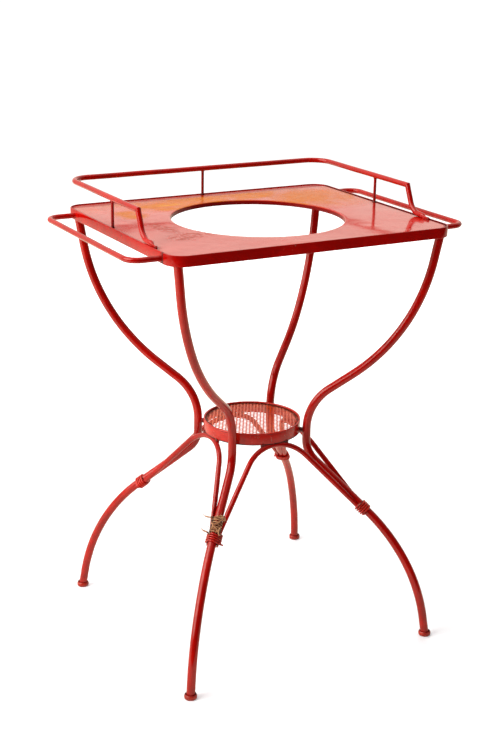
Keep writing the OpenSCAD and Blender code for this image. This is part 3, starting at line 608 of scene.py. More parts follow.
def rings_on(line, section, first=None):
    """Rings of points round a line. section(i) gives offsets (across, up) of ring i."""
    ways = along(line)
    side = np.cross(ways[0], first if first is not None else
                    (0, 0, 1) if abs(ways[0][2]) < 0.9 else (0, 1, 0))
    rings = []
    for i, (point, way) in enumerate(zip(line, ways)):
        side = unit(side - (side @ way) * way)
        over = np.cross(way, side)
        offsets = np.array(section(i))
        rings.append(point + offsets[:, :1] * side + offsets[:, 1:] * over)
    return np.array(rings)


def full_turn(count):
    """Angles of evenly spaced points round a circle."""
    return np.arange(count) * 2 * math.pi / count


def circle(radius, sides):
    angles = full_turn(sides)
    return radius * np.stack([np.cos(angles), np.sin(angles)], 1)


def skin_of(rings, joined=False):
    """Vertices and faces over rings, with a lid at both ends or joined end to end."""
    count, sides = rings.shape[:2]
    faces = []
    for i in range(count if joined else count - 1):
        j = (i + 1) % count
        for k in range(sides):
            m = (k + 1) % sides
            faces.append((i * sides + k, i * sides + m, j * sides + m, j * sides + k))
    if not joined:
        faces.append(tuple(range(sides))[::-1])
        faces.append(tuple((count - 1) * sides + k for k in range(sides)))
    return rings.reshape(-1, 3), faces


test_bend = bent_line([(0, 0, 0), (100, 0, 0), (100, 100, 0)], [30])
print("a test bend has", len(test_bend), "points")

# %% Piece maker
class Shape:
    """Vertices, faces, wear, and grime with painted shade, of a piece that is made of several
    skins.
    """

    def __init__(self):
        self.points, self.faces, self.rubbed, self.grime_and_shade = [], [], [], []

    def add(self, skin, rubbed=0.0, grime_and_shade=0.0):
        points, faces = skin
        base = len(self.points)
        self.points.extend(map(tuple, points))
        self.faces.extend(tuple(base + i for i in face) for face in faces)
        for kept, values in ((self.rubbed, rubbed), (self.grime_and_shade, grime_and_shade)):
            kept.extend(np.broadcast_to(np.asarray(values, float), (len(points),)).tolist())
        return self


def make_piece(name, shape, finish, stands_for=(), sharp=38):
    mesh = bpy.data.meshes.new(name)
    mesh.from_pydata([tuple(c / 1000 for c in p) for p in shape.points], [], shape.faces)
    mesh.polygons.foreach_set("use_smooth", [True] * len(mesh.polygons))
    mesh.set_sharp_from_angle(angle=math.radians(sharp))
    for label in ("rubbed", "grime_and_shade"):
        layer = mesh.attributes.new(label, "FLOAT", "POINT")
        layer.data.foreach_set("value", getattr(shape, label))
    mesh.materials.append(finish)
    piece = bpy.data.objects.new(name, mesh)
    bpy.context.scene.collection.objects.link(piece)
    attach(piece, "root")
    if stands_for:
        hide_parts(*stands_for)
    print("piece", name, len(mesh.vertices), "points")


def wobble(line, size, scale, seed):
    """A line moved a little off true, as hand bending leaves it."""
    shifts = [Vector((seed + x, y, z))
              for x, y, z in ((9.3, -1.5, -8.0), (0, 0, 0), (6.3, 0.2, -2.7))]
    return line + np.array([[size * noise.noise(Vector(p) / scale + shift) for shift in shifts]
                            for p in line])


def away_from_ends(line, points, start=0):
    """Shares that grow from 0 to 1 over some points from both ends of a line."""
    steps = np.arange(len(line))
    return np.clip(np.minimum(steps, steps[::-1]) / points - start, 0, 1)[:, None]


def rubbed_ends(line, points, much):
    """Wear of a bar that is rubbed only near both ends."""
    rub = np.zeros(len(line))
    rub[:points] = rub[-points:] = much
    return rub


def bar_shape(rings, rub):
    """Shape of one bar with the wear given ring by ring."""
    return Shape().add(skin_of(rings), np.repeat(rub, rings.shape[1]))


def seal_at(ring, way, level):
    """A ring slid along a direction until it lies flat at a height."""
    return np.array([p + way * (level - p[2]) / way[2] for p in ring])


def noise_at(x, y, third, scale):
    """Noise over a flat sheet. The third number picks another pattern."""
    return noise.noise(Vector((x, y, third)) / scale)


def noise_round(angle, scale, third):
    """Noise round a ring that meets itself after a full turn."""
    return noise.noise(Vector((math.cos(angle) * scale, math.sin(angle) * scale, third)))


print("piece maker ready")

# %% [markdown]
# ## Rim of the tray
# The rim is flat bar bent on edge round the tray and butted on the left side,
# where the joint shows as a dark line. It could be a bevelled box, but a
# section carried round the outline gives rounded edges, a slow wave from
# hammering and an open joint. Its inner face above the sheet is darkened with
# dirt and painted shade, much less along the rear.

# %% Outline of the tray and its rim
TRAY_HALF = (280.0, 229.0)
CORNER = 32.0
RIM_LOW, RIM_HIGH, RIM_THICK = 781.0, 800.0, 2.5
JOINT_START, JOINT_END = -193.9, -192.7
LESS_DARK_BEYOND = 205.0


def outline(inset, step=9.0):
    """Points and outward directions round the tray, counterclockwise from the joint."""
    hx, hy = TRAY_HALF[0] - inset, TRAY_HALF[1] - inset
    radius = CORNER - inset
    points, outs = [], []

    def run(a, b, out):
        count = max(2, round(math.dist(a, b) / step))
        for k in range(count):
            points.append(tuple(a[c] + (b[c] - a[c]) * k / count for c in (0, 1)))
            outs.append(out)

    def turn(cx, cy, start):
        for k in range(12):
            angle = math.radians(start + 90 * k / 12)
            points.append((cx + radius * math.cos(angle), cy + radius * math.sin(angle)))
            outs.append((math.cos(angle), math.sin(angle)))

    sx, sy = hx - radius, hy - radius
    run((-hx, JOINT_START), (-hx, -sy), (-1, 0))
    turn(-sx, -sy, 180)
    run((-sx, -hy), (sx, -hy), (0, -1))
    turn(sx, -sy, 270)
    run((hx, -sy), (hx, sy), (1, 0))
    turn(sx, sy, 0)
    run((sx, hy), (-sx, hy), (0, 1))
    turn(-sx, sy, 90)
    run((-hx, sy), (-hx, JOINT_END), (-1, 0))
    points.append((-hx, JOINT_END))
    outs.append((-1, 0))
    return np.array(points), np.array(outs)


def rounded_bar(half_thick, half_high, edge):
    """Section of flat bar with rounded edges."""
    section, steps = [], 3
    for cx, cy, start in ((1, 1, 0), (-1, 1, 90), (-1, -1, 180), (1, -1, 270)):
        for k in range(steps + 1):
            angle = math.radians(start + 90 * k / steps)
            section.append((cx * (half_thick - edge) + edge * math.cos(angle),
                            cy * (half_high - edge) + edge * math.sin(angle)))
    return section


def tray_rim():
    shape = Shape()
    points, outs = outline(RIM_THICK / 2)
    section = rounded_bar(RIM_THICK / 2, (RIM_HIGH - RIM_LOW) / 2, 0.8)
    middle = (RIM_HIGH + RIM_LOW) / 2
    rings, rubs, dirt_and_shade = [], [], []
    for i, ((x, y), (ox, oy)) in enumerate(zip(points, outs)):
        dent = 0.35 * noise_at(x, y, 0, 46)
        sink = 0.25 * abs(noise_at(x, y, 9, 30))
        last = max(0.0, 1 - i / 3) * 0.5
        # The inner face is darkened as dirt and painted shade in the gap above the sheet, much
        # less at the rear; the end rings darken the butt joint
        seam = 0.15 if y > LESS_DARK_BEYOND else 0.9
        for across, high in section:
            off = across - abs(dent) * 0.6 + last
            rings.append((x + ox * off, y + oy * off, middle + high - sink))
            rubs.append(0.16 if across > 0 and abs(high) > 8.4 else 0.02)
            dirt_and_shade.append(1.0 if i in (0, len(points) - 1) else
                        seam if across < 0 and high < 9.2 else 0.0)
    rings = np.array(rings).reshape(len(points), len(section), 3)
    shape.add(skin_of(rings), rubs, dirt_and_shade)
    make_piece("rim_bar", shape, rim_enamel, ("tray_rim",))


tray_rim()

# %% [markdown]
# ## Sheet of the tray
# One sheet fills the rim a little below its top edge, and its edge is turned
# down round the hole to stiffen it. The mesh runs in rings from the turned
# edge out to the rim, so the bend is round and the flat part can sag and
# buckle by a few tenths, which is what bends the reflections. The sheet is
# darkened, as dirt and painted shade, round the posts, round the tabs, in the
# seam at the rim and on the lower part of the turned edge.

# %% Sheet with a turned edge
GALLERY_X, GALLERY_Y, GALLERY_Z, STOP_Y, ROD_R = 273.9, 222.9, 850.0, -85.0, 5.0
POSTS = (("rear", 5.0, GALLERY_Y), ("left", -GALLERY_X, 22.0), ("right", GALLERY_X, 22.0))
DIRT_AND_SHADE_SPOTS = [(x, y, 5) for _, x, y in POSTS] + [(-GALLERY_X, -152, 9), (GALLERY_X, -152, 9)]
HOLE_AT, HOLE_R = (0.0, -8.0), 158.5
SHEET_TOP, SHEET_LOW, SHEET_THICK = 798.2, 797.0, 1.2
EDGE_HEIGHTS, BEND_ANGLES = (790.0, 792.0, 794.0), (0.4, 0.8, 1.2, math.pi / 2)
BEND_R, BEND_BELOW = 1.8, 1.0


def reach_to_rim(angle):
    """Distance from the hole's centre to the inside of the rim."""
    hx, hy = TRAY_HALF[0] - RIM_THICK, TRAY_HALF[1] - RIM_THICK
    radius = CORNER - RIM_THICK
    dx, dy = math.cos(angle), math.sin(angle)
    low, high = 0.0, 420.0
    for _ in range(40):
        mid = (low + high) / 2
        x, y = abs(HOLE_AT[0] + mid * dx), abs(HOLE_AT[1] + mid * dy)
        qx, qy = x - (hx - radius), y - (hy - radius)
        inside = math.hypot(max(qx, 0), max(qy, 0)) + min(max(qx, qy), 0) < radius
        low, high = (mid, high) if inside else (low, mid)
    return low


def tray_sheet(spokes=320, across=26):
    turned = [(0.0, z) for z in (*EDGE_HEIGHTS, SHEET_TOP - BEND_R)]
    turned += [(BEND_R - BEND_R * math.cos(a), SHEET_TOP - BEND_R + BEND_R * math.sin(a))
               for a in BEND_ANGLES]
    under = [(SHEET_THICK, z) for z in (*EDGE_HEIGHTS, SHEET_LOW - BEND_BELOW)]
    under += [(SHEET_THICK + 0.8 * (1 - math.cos(a)), SHEET_LOW - BEND_BELOW + math.sin(a))
              for a in BEND_ANGLES]
    rings = []
    for angle in full_turn(spokes):
        far = reach_to_rim(angle)
        dx, dy = math.cos(angle), math.sin(angle)

        def buckle(r):
            x, y = HOLE_AT[0] + r * dx, HOLE_AT[1] + r * dy
            share = min(1.0, (far - r) / 14, max(0.0, (r - HOLE_R) / 10))
            return share * (0.55 * noise_at(x, y, 3, 95) + 0.16 * noise_at(x, y, 7, 28))

        def side(profile, flat):
            line = [(HOLE_R + off, z) for off, z in profile]
            start = line[-1][0]
            line += [(start + (far - start) * k / across, flat) for k in range(1, across)]
            line += [(far - 3.4, flat), (far - 1.7, flat), (far, flat)]
            return [(HOLE_AT[0] + r * dx, HOLE_AT[1] + r * dy,
                     z + (buckle(r) if z > SHEET_LOW - 0.1 else 0)) for r, z in line]

        rings.append(side(turned, SHEET_TOP) + side(under, SHEET_LOW)[::-1])
    rings = np.array(rings)
    shape = Shape()
    rubs, dirt_and_shade = np.zeros(rings.shape[:2]), np.zeros(rings.shape[:2])
    # rings 4 to 8 are the bend at the hole, and the rings round edge meet the rim
    rubs[:, 4:9] = 0.12
    edge = len(turned) + across + 1
    # Painted shade with dirt: darker where the sheet meets the rim and on the lower part of the
    # turned edge, less at the rear
    dirt_and_shade[:, edge - 1:edge + 2], dirt_and_shade[:, edge - 2], dirt_and_shade[:, :3] = 1.0, 0.55, 0.4
    dirt_and_shade[rings[..., 1] > LESS_DARK_BEYOND] *= 0.2
    # Painted shade with dirt round the feet of the posts and the tabs
    for x, y, reach in DIRT_AND_SHADE_SPOTS:
        near = np.hypot(rings[..., 0] - x, rings[..., 1] - y)
        dirt_and_shade = np.maximum(dirt_and_shade, 0.95 * np.exp(-(near / reach) ** 2))
    shape.add(skin_of(rings, joined=True), rubs.reshape(-1), dirt_and_shade.reshape(-1))
    make_piece("tray_sheet", shape, tray_enamel, ("tray_plate",))


tray_sheet()

# %% [markdown]
# ## Legs
# A leg is one tube, bent in two upright planes that meet in its straight
# waist. Bending by hand leaves it slightly oval in the bends and never quite
# straight between them; here the tube stays round, a little thinner in places,
# and wanders off straight between the bends. Its top is flat under the gusset
# and its foot stands in a pressed cup.

# %% Four legs
CORNERS = {"front_left": (-1, -1), "front_right": (1, -1),
           "rear_left": (-1, 1), "rear_right": (1, 1)}
LEG_POINTS = [(263.935, 212.719, 800.894), (234.967, 190.248, 592.974), (79.982, 70.019, 448),
              (79.982, 70.019, 350), (234.924, 228.5, 159.95), (254.325, 248.343, -2.4)]
LEG_RUNS = [143.743, 50.439, 23.911, 126.31]
LEG_R, LEG_TOP, LEG_FOOT = 8.0, 794.0, 2.2


def flip(points, signs):
    """One or more points of the right rear corner, mirrored to another corner."""
    return np.array(points, float) * np.array([signs[0], signs[1], 1.0])


def leg(name, signs, seed):
    line = bent_line(flip(LEG_POINTS, signs), LEG_RUNS)
    ways = along(line)
    keep = np.nonzero((line[:, 2] < LEG_TOP) & (line[:, 2] > LEG_FOOT))[0]
    line, ways = line[keep[0] - 1:keep[-1] + 2], ways[keep[0] - 1:keep[-1] + 2]
    # the tube stays true at its foot, at its top and in the waist at 395
    middle = np.array([min(1.0, (p[2] - 8) / 60, (786 - p[2]) / 60,
                           max(0.15, abs(p[2] - 395) / 120)) for p in line]).clip(0, 1)
    line = line + middle[:, None] * (wobble(line, 0.9, 120, seed) - line)

    def section(i):
        bulge = 1 + 0.012 * noise.noise(Vector(line[i]) / 22 + Vector((seed, 3, 0)))
        return circle(LEG_R * min(1.0, bulge), 32)

    rings = rings_on(line, section)
    rings[0] = seal_at(rings[0], ways[0], LEG_TOP)
    rings[-1] = seal_at(rings[-1], ways[-1], LEG_FOOT)
    rub = [0.30 if p[2] < 16 else 0.1 if p[2] < 60 or 240 < p[2] < 262 else 0.0 for p in line]
    make_piece("tube_leg_" + name, bar_shape(rings, rub), frame_enamel,
               ("leg_" + name,))


for number, (name, signs) in enumerate(CORNERS.items()):
    leg(name, signs, 11.0 * number)

# %% [markdown]
# ## Foot cups
# The cups are pressed sheet, rolled in at the top and dented from dragging.
# A turned profile would be too perfect, so its rings are pushed inwards by
# noise, never outwards, because the feet set the width of the whole stand.

# %% Four dented cups
CUP_SIDES = 40


def turned_rings(profile, centre, dent, seed, sides=CUP_SIDES):
    """Rings of a turned shape, dented inwards by noise."""
    rings = []
    for r, z in profile:
        for a in full_turn(sides):
            push = max(0.0, r - dent * abs(noise_round(a, 2, z / 5 + seed)))
            rings.append((centre[0] + push * math.cos(a), centre[1] + push * math.sin(a),
                          centre[2] + z))
    return np.array(rings).reshape(len(profile), sides, 3)


FOOT_X, FOOT_Y = 253.5, 247.5
CUP = [(0.4, 0.02), (7.0, 0.0), (9.8, 0.0), (10.9, 0.4), (11.6, 1.4), (11.95, 2.8), (12.0, 4.4),
       (11.8, 6.2), (11.3, 7.8), (10.7, 8.7), (10.1, 9.0), (9.6, 8.8), (9.4, 8.2), (9.3, 5.0),
       (9.3, 2.2), (0.4, 2.2)]
# The rolled lip, the inside and the base are darkened: painted shade in the crevice round the
# tube, with dirt
cup_dirt_and_shade = np.repeat([0.0 if 0.1 < z < 8.75 and r > 9.7 else 0.9 for r, z in CUP], CUP_SIDES)
for number, (name, signs) in enumerate(CORNERS.items()):
    cup = turned_rings(CUP, flip((FOOT_X, FOOT_Y, 0.0), signs), dent=0.9, seed=7.0 * number)
    make_piece("pressed_cup_" + name, Shape().add(skin_of(cup), 0.0, cup_dirt_and_shade),
               worn_foot_enamel, ("foot_cup_" + name,))

# %% [markdown]
# ## Gallery rail and its ends
# The gallery is one rod on three sides. At each front corner it is mitred to
# a second rod that leans down, lands on the sheet and is hammered into a flat
# tab with a rivet. The tab is the same skin as the rod: its ring of points
# goes from round to flat, as metal does under a hammer.

# %% Rail on three sides
END_LEAN = math.radians(24)
LEAN_WAY = np.array([0, -math.sin(END_LEAN), -math.cos(END_LEAN)])
MITRE = unit(np.array([0, -1.0, 0]) + LEAN_WAY)


def cut_at_mitre(ring, way, corner):
    """A ring slid along the rod onto the plane that halves the corner."""
    return np.array([p + way * ((corner - p) @ MITRE) / (way @ MITRE) for p in ring])


def gallery():
    line = bent_line([(-GALLERY_X, STOP_Y, GALLERY_Z), (-GALLERY_X, GALLERY_Y, GALLERY_Z),
                      (GALLERY_X, GALLERY_Y, GALLERY_Z), (GALLERY_X, STOP_Y, GALLERY_Z)],
                     [38, 38])
    line = line + away_from_ends(line, 6) * (wobble(line, 0.45, 90, 4) - line)
    line[:, 2] = np.minimum(line[:, 2], GALLERY_Z)
    rings = rings_on(line, lambda i: circle(ROD_R, 24))
    for end, x, y in ((0, -GALLERY_X, 1.0), (-1, GALLERY_X, -1.0)):
        rings[end] = cut_at_mitre(rings[end], np.array([0, y, 0]),
                                  np.array([x, STOP_Y, GALLERY_Z]))
    make_piece("gallery_rod", bar_shape(rings, rubbed_ends(line, 2, 0.2)),
               rail_enamel, ("gallery_rail",))


gallery()

# %% Ends that turn into tabs
TAB_TIP, TAB_HALF, TAB_HALF_THICK, TAB_RIVET_Y = -157.75, 3.5, 1.25, -154.25
FLAT_FROM, FLAT_OVER = -134.0, 12.0
LANDING_Z, TAB_Z, TAB_LEAST_Z = 803.4, 799.5, 798.25


def squared(radius_across, radius_up, sides, power):
    """A ring between a circle (power 2) and a rounded block."""
    c, s = np.cos(full_turn(sides)), np.sin(full_turn(sides))
    return np.stack([radius_across * np.sign(c) * np.abs(c) ** (2 / power),
                     radius_up * np.sign(s) * np.abs(s) ** (2 / power)], 1)


def gallery_end(name, side):
    x = side * GALLERY_X
    line = bent_line([(x, STOP_Y, GALLERY_Z), (x, -105.75, LANDING_Z), (x, -143.75, LANDING_Z)],
                     [19.5], step=4.0)
    tip = [(x, y, 0) for y in (-145.5, -147.5, -150, -152.5, -154.6, -156.2, -157.2, TAB_TIP)]
    line = np.vstack([line, tip])
    flat = np.clip((FLAT_FROM - line[:, 1]) / FLAT_OVER, 0, 1)
    flat = flat * flat * (3 - 2 * flat)
    lying = line[:, 1] < FLAT_FROM
    line[lying, 2] = LANDING_Z * (1 - flat[lying]) + TAB_Z * flat[lying]

    def section(i):
        past = np.clip((TAB_RIVET_Y - line[i][1]) / TAB_HALF, 0, 0.995)
        across = ROD_R + (TAB_HALF - ROD_R) * flat[i]
        return squared(across * math.sqrt(1 - past * past),
                       ROD_R + (TAB_HALF_THICK - ROD_R) * flat[i], 24, 2 + 3 * flat[i])

    rings = rings_on(line, section, first=(1, 0, 0))
    rings[0] = cut_at_mitre(rings[0], LEAN_WAY, np.array([x, STOP_Y, GALLERY_Z]))
    rings[:, :, 2] = np.maximum(rings[:, :, 2], TAB_LEAST_Z)
    rub = np.where(lying, 0.16, 0.03)
    rub[0] = 0.2
    make_piece("gallery_foot_" + name, bar_shape(rings, rub), rail_enamel,
               ("gallery_end_" + name,))


for name, side in (("left", -1), ("right", 1)):
    gallery_end(name, side)

# %% [markdown]
# ## Posts and rivets
# Three short posts carry the rail: a flange on the sheet, a thin shaft, and a
# weld at the top. They are turned shapes, and a ring of ragged bead makes the
# weld. The rivets are domed heads over the tabs, and turned as well.

# %% Posts
def bead(centre, normal, radius, thick, count, seed, lumps=9):
    """A ring of weld with lumps, round a joint."""
    normal = unit(np.array(normal, float))
    across = unit(np.cross(normal, (0, 0, 1) if abs(normal[2]) < 0.9 else (1, 0, 0)))
    over = np.cross(normal, across)
    rings = []
    for a in full_turn(count):
        out = across * math.cos(a) + over * math.sin(a)
        size = thick * (1 + 0.3 * math.sin(lumps * a + seed) + 0.25 * noise_round(a, 2, seed))
        rings.append([np.array(centre) + out * (radius + size * math.cos(b))
                      + normal * size * math.sin(b) for b in full_turn(8)])
    return skin_of(np.array(rings), joined=True)


POST_WELD_Z = 845.4
POST = [(0.3, -2.65), (2.4, -2.7), (2.95, -2.2), (3.0, -1.25), (2.1, -1.2), (2.1, 0.0), (3.3, 0.0),
        (3.5, 0.4), (3.5, 1.1), (3.1, 1.5), (3.0, 1.8), (2.8, 2.4), (2.72, 12), (2.78, 24),
        (2.74, 36), (2.8, 43.5), (2.9, 45.4), (3.5, 46.9), (3.8, 47.9), (3.2, 49.0)]
# The foot of each post is darkened as painted shade with dirt, and its shaft a little darker all
# along
post_dirt_and_shade = np.repeat([0.95 if z < 2 else 0.6 if z < 3 else 0.3 for _, z in POST], 20)
for name, x, y in POSTS:
    post = turned_rings(POST, (x, y, SHEET_TOP), sides=20, dent=0.12, seed=x)
    shape = Shape().add(skin_of(post), 0.08, post_dirt_and_shade)
    shape.add(bead((x, y, POST_WELD_Z), (0, 0, 1), 3.0, 0.75, 28, seed=x), 0.25)
    make_piece("rail_post_" + name, shape, rail_enamel, ("gallery_post_" + name,))

# %% Rivets
RIVET = [(0.2, -3.1), (2.2, -2.9), (2.9, -2.1), (3.0, -1.2), (2.0, -1.2), (2.0, 2.5), (2.95, 2.55),
         (3.0, 3.0), (2.7, 3.7), (2.0, 4.25), (1.1, 4.45), (0.2, 4.48)]
shape = Shape()
for side in (-1, 1):
    shape.add(skin_of(turned_rings(RIVET, (side * GALLERY_X, TAB_RIVET_Y, SHEET_TOP), sides=20,
                                   dent=0.25, seed=side)), 0.35)
make_piece("tab_rivets", shape, painted_fasteners, ("gallery_tab_rivets",))

# %% [markdown]
# ## Towel rails
# One rod on each short side, with two round corners and threaded ends that
# pass through the rim. The shoulder that meets the rim is round, and the
# spigot inside carries a nut.

# %% Two towel rails
TOWEL_OUT, TOWEL_Y, TOWEL_Z = 335.0, 184.0, 789.0


def towel_rail(name, side):
    root = TRAY_HALF[0]
    line = bent_line([(side * x, y, TOWEL_Z) for x, y in (
        (root, TOWEL_Y), (TOWEL_OUT, TOWEL_Y), (TOWEL_OUT, -TOWEL_Y), (root, -TOWEL_Y))],
        [24, 24])
    bent = wobble(line, 0.6, 110, 20 + side)
    bent[:, 0] = side * np.minimum(side * bent[:, 0], TOWEL_OUT)
    line = line + away_from_ends(line, 6) * (bent - line)
    rings = rings_on(line, lambda i: circle(
        ROD_R * (0.96 if i in (0, len(line) - 1) else 1.0), 24))
    shape = bar_shape(rings, rubbed_ends(line, 1, 0.35))
    for s in (-1, 1):
        thread = np.array([(side * (root - t), s * TOWEL_Y, TOWEL_Z)
                           for t in np.linspace(-0.5, 9.5, 34)])
        shape.add(skin_of(rings_on(thread, lambda i: circle(3.0 - 0.22 * (i % 2), 16))), 0.5)
    make_piece("towel_rod_" + name, shape, rail_enamel, ("towel_rail_" + name,))


for name, side in (("left", -1), ("right", 1)):
    towel_rail(name, side)

# %% [markdown]
# ## Shelf hoop and perforated disc
# The hoop is flat bar rolled into a ring, with a rolled bead inside its top
# and a thin one under its bottom edge. The thin bead is darkened all round, a
# dark line of painted shade with dirt along the bottom edge; the underside of
# the top bead and the hoop's inner face are darkened less, as painted shade.
# The disc is perforated sheet cut with snips: its holes run right out to the
# edge, so the edge is scalloped. Its edge against the hoop and its underside
# are darkened as painted shade with dirt.
# A boolean for each of some five hundred holes would be slow and untidy.
# Instead each hole gets its own six-sided cell, and the cells share edges.

# %% Hoop
HOOP_R, HOOP_LOW, HOOP_HIGH, HOOP_THICK = 92.5, 388.0, 409.0, 2.5
HOOP_STEPS, BOTTOM_SIDES = 180, 10
HOOP_BEADS = ((90.9, HOOP_HIGH - 1.9, 1.8, 16), (91.8, HOOP_LOW - 1.0, 1.0, BOTTOM_SIDES))


def hoop():
    section = rounded_bar(HOOP_THICK / 2, (HOOP_HIGH - HOOP_LOW) / 2, 0.7)
    rings, rubs, dirt_and_shade = [], [], []
    for a in full_turn(HOOP_STEPS):
        dent = 0.5 * abs(noise_round(a, 3, 2))
        ease = 0.4 * noise_round(a, 4, 8)
        for across, high in section:
            r = HOOP_R - HOOP_THICK / 2 + across - dent
            high = high if high > 0 else high - 1.2
            rings.append((r * math.cos(a), r * math.sin(a),
                          (HOOP_LOW + HOOP_HIGH) / 2 + high - (abs(ease) if high > 0 else 0)))
            rubs.append(0.3 if abs(high) > 9.6 else 0.05)
            # Painted shade on the hoop's inner face
            dirt_and_shade.append(0.25 if across < -0.2 and high > -9 else 0.0)
    rings = np.array(rings).reshape(HOOP_STEPS, len(section), 3)
    shape = Shape().add(skin_of(rings, joined=True), rubs, dirt_and_shade)
    for middle, level, thick, sides in HOOP_BEADS:
        rings, dirt_and_shade = [], []
        for a in full_turn(HOOP_STEPS):
            out_way = np.array([math.cos(a), math.sin(a), 0.0])
            ease = noise_round(a, 5, level)
            for b in full_turn(sides):
                out = middle + 0.3 * ease + thick * math.cos(b)
                rings.append(out_way * out + (0, 0, level + 0.2 * ease + thick * math.sin(b)))
                # Painted shade under the top bead; the thin bottom bead is darkened all round as a
                # dark line of painted shade with dirt
                dirt_and_shade.append(1.0 if math.sin(b) < -0.3 or sides == BOTTOM_SIDES else 0.0)
        shape.add(skin_of(np.array(rings).reshape(HOOP_STEPS, sides, 3), joined=True), 0.12, dirt_and_shade)
    make_piece("rolled_hoop", shape, shelf_enamel, ("shelf_hoop",))


hoop()

# %% Perforated disc
PITCH, HOLE, DISC_R, DISC_TOP, DISC_THICK = 7.4, 5.4, 89.9, 406.0, 0.5


def perforated_disc():
    corner = [np.array([math.cos(a), math.sin(a)]) * PITCH / math.sqrt(3)
              for a in (math.radians(60 * k + 30) for k in range(6))]
    edge = []
    for k in range(6):
        edge += [corner[k], (corner[k] + corner[(k + 1) % 6]) / 2]
    hole = [HOLE / 2 * e / np.linalg.norm(e) for e in edge]
    row = PITCH * math.sqrt(3) / 2
    points, index, faces, dirt_and_shade = [], {}, [], []

    def vertex(p, low):
        r = np.linalg.norm(p)
        if r > DISC_R:
            p = p * DISC_R / r
        key = (round(p[0], 2), round(p[1], 2), low)
        if key not in index:
            index[key] = len(points)
            dish = 0.5 * (1 - (np.linalg.norm(p) / 90) ** 2)
            sag = 0.7 * noise_at(p[0], p[1], 1, 60) - dish
            ragged = DISC_R - 6.2 - 2.0 * noise_at(p[0], p[1], 4, 9)
            # Painted shade with dirt: darker at the edge against the hoop, and on the underside
            # and hole walls
            dirt_and_shade.append(0.8 if r > ragged else 0.45 if low else 0.0)
            points.append((p[0], p[1],
                           DISC_TOP - 0.35 + sag * 0.7 - (DISC_THICK if low else 0)))
        return index[key]

    rows = int(DISC_R / row) + 2
    for j in range(-rows, rows + 1):
        for i in range(-rows - 2, rows + 3):
            middle = np.array([PITCH * (i + (j % 2) / 2), row * j])
            if np.linalg.norm(middle) > DISC_R + PITCH * 0.35:
                continue
            top_in, top_out, low_in, low_out = ([vertex(middle + e, low) for e in ring]
                                                for low in (False, True) for ring in (hole, edge))
            for k in range(12):
                m = (k + 1) % 12
                for a, b, c, d in ((top_in[k], top_out[k], top_out[m], top_in[m]),
                                   (low_in[m], low_out[m], low_out[k], low_in[k]),
                                   (top_in[m], low_in[m], low_in[k], top_in[k])):
                    face = tuple(dict.fromkeys((a, b, c, d)))
                    if len(face) > 2:
                        faces.append(face)
    make_piece("perforated_disc", Shape().add((points, faces), 0.1, dirt_and_shade),
               disc_enamel, ("shelf_grille",), sharp=30)


disc_enamel = enamel("disc_enamel", (220, 82, 28), (192, 50, 16), shine=0.2, amount=0.45)
perforated_disc()

# %% [markdown]
# ## Arch rods
# Four rods arch under the shelf from leg to leg. Where a rod lies against a
# leg it was hammered flat, so every point of its ring that would be inside
# the leg's side is pushed out onto the flat. The hammered metal spreads wider,
# but the mesh here is only flattened, not widened.

# %% Directions at the wraps, and four arches
SHIN_TOP = np.array(LEG_POINTS[3])
SHIN = unit(np.array(LEG_POINTS[4]) - SHIN_TOP)
SIDEWAYS = np.array([-SHIN[1], SHIN[0], 0]) / math.hypot(SHIN[0], SHIN[1])
INNER = np.cross(SIDEWAYS, SHIN)
WRAP_AT = SHIN_TOP + 152.0 * SHIN
ARCH_R, FLAT, GAP, AROUND = 5.0, 4.0, 0.2, math.radians(65)
GUIDE_UP, TAIL_DOWN, GUIDE_RUN = 12.0, 13.0, 8.0
CROWN_OUT, CROWN_Z, CROWN_R = 88.0, 382.5, 78.0
HAMMERED_UP, HAMMERED_DOWN, HAMMERED_REACH = -126, 40, 22


def outward(hand):
    return math.cos(AROUND) * INNER + hand * math.sin(AROUND) * SIDEWAYS


def beside(hand, down):
    """Centre of a rod against the leg, down the leg from the middle of the wraps."""
    return WRAP_AT + (LEG_R + GAP + FLAT - ARCH_R) * outward(hand) + down * SHIN


def arch_corners(hand):
    """Corners of the rear arch (hand 1) or the right arch (hand -1)."""
    guide, tail = beside(hand, -GUIDE_UP), beside(hand, TAIL_DOWN)
    axis = 0 if hand > 0 else 1
    mid, crown, away = guide.copy(), np.zeros(3), np.ones(3)
    mid[axis], crown[1 - axis], crown[2], away[axis] = 0, CROWN_OUT, CROWN_Z, -1
    rise, span = np.linalg.norm(crown - mid), guide[axis]
    slope = (math.asin(CROWN_R / math.hypot(span, rise - CROWN_R))
             + math.atan2(rise - CROWN_R, span))
    top = mid + span * math.tan(slope) * (crown - mid) / rise
    a, b = top - guide, guide * away - top
    turn = math.acos(a @ b / np.linalg.norm(a) / np.linalg.norm(b))
    return ([tail, guide, top, guide * away, tail * away],
            [GUIDE_RUN, CROWN_R * math.tan(turn / 2), GUIDE_RUN])


def hammered(ring, signs, hand):
    """Points of a ring on the leg's side of the flat, pushed onto it."""
    centre, way, out = (flip(v, signs) for v in (WRAP_AT, SHIN, outward(hand)))
    moved = []
    for p in ring:
        near, down = (p - centre) @ out, (p - centre) @ way
        beside_leg = (HAMMERED_UP < down < HAMMERED_DOWN
                      and np.linalg.norm(p - centre - down * way) < HAMMERED_REACH)
        if near < LEG_R + GAP and beside_leg:
            p = p + (LEG_R + GAP - near) * out
        moved.append(p)
    return np.array(moved)


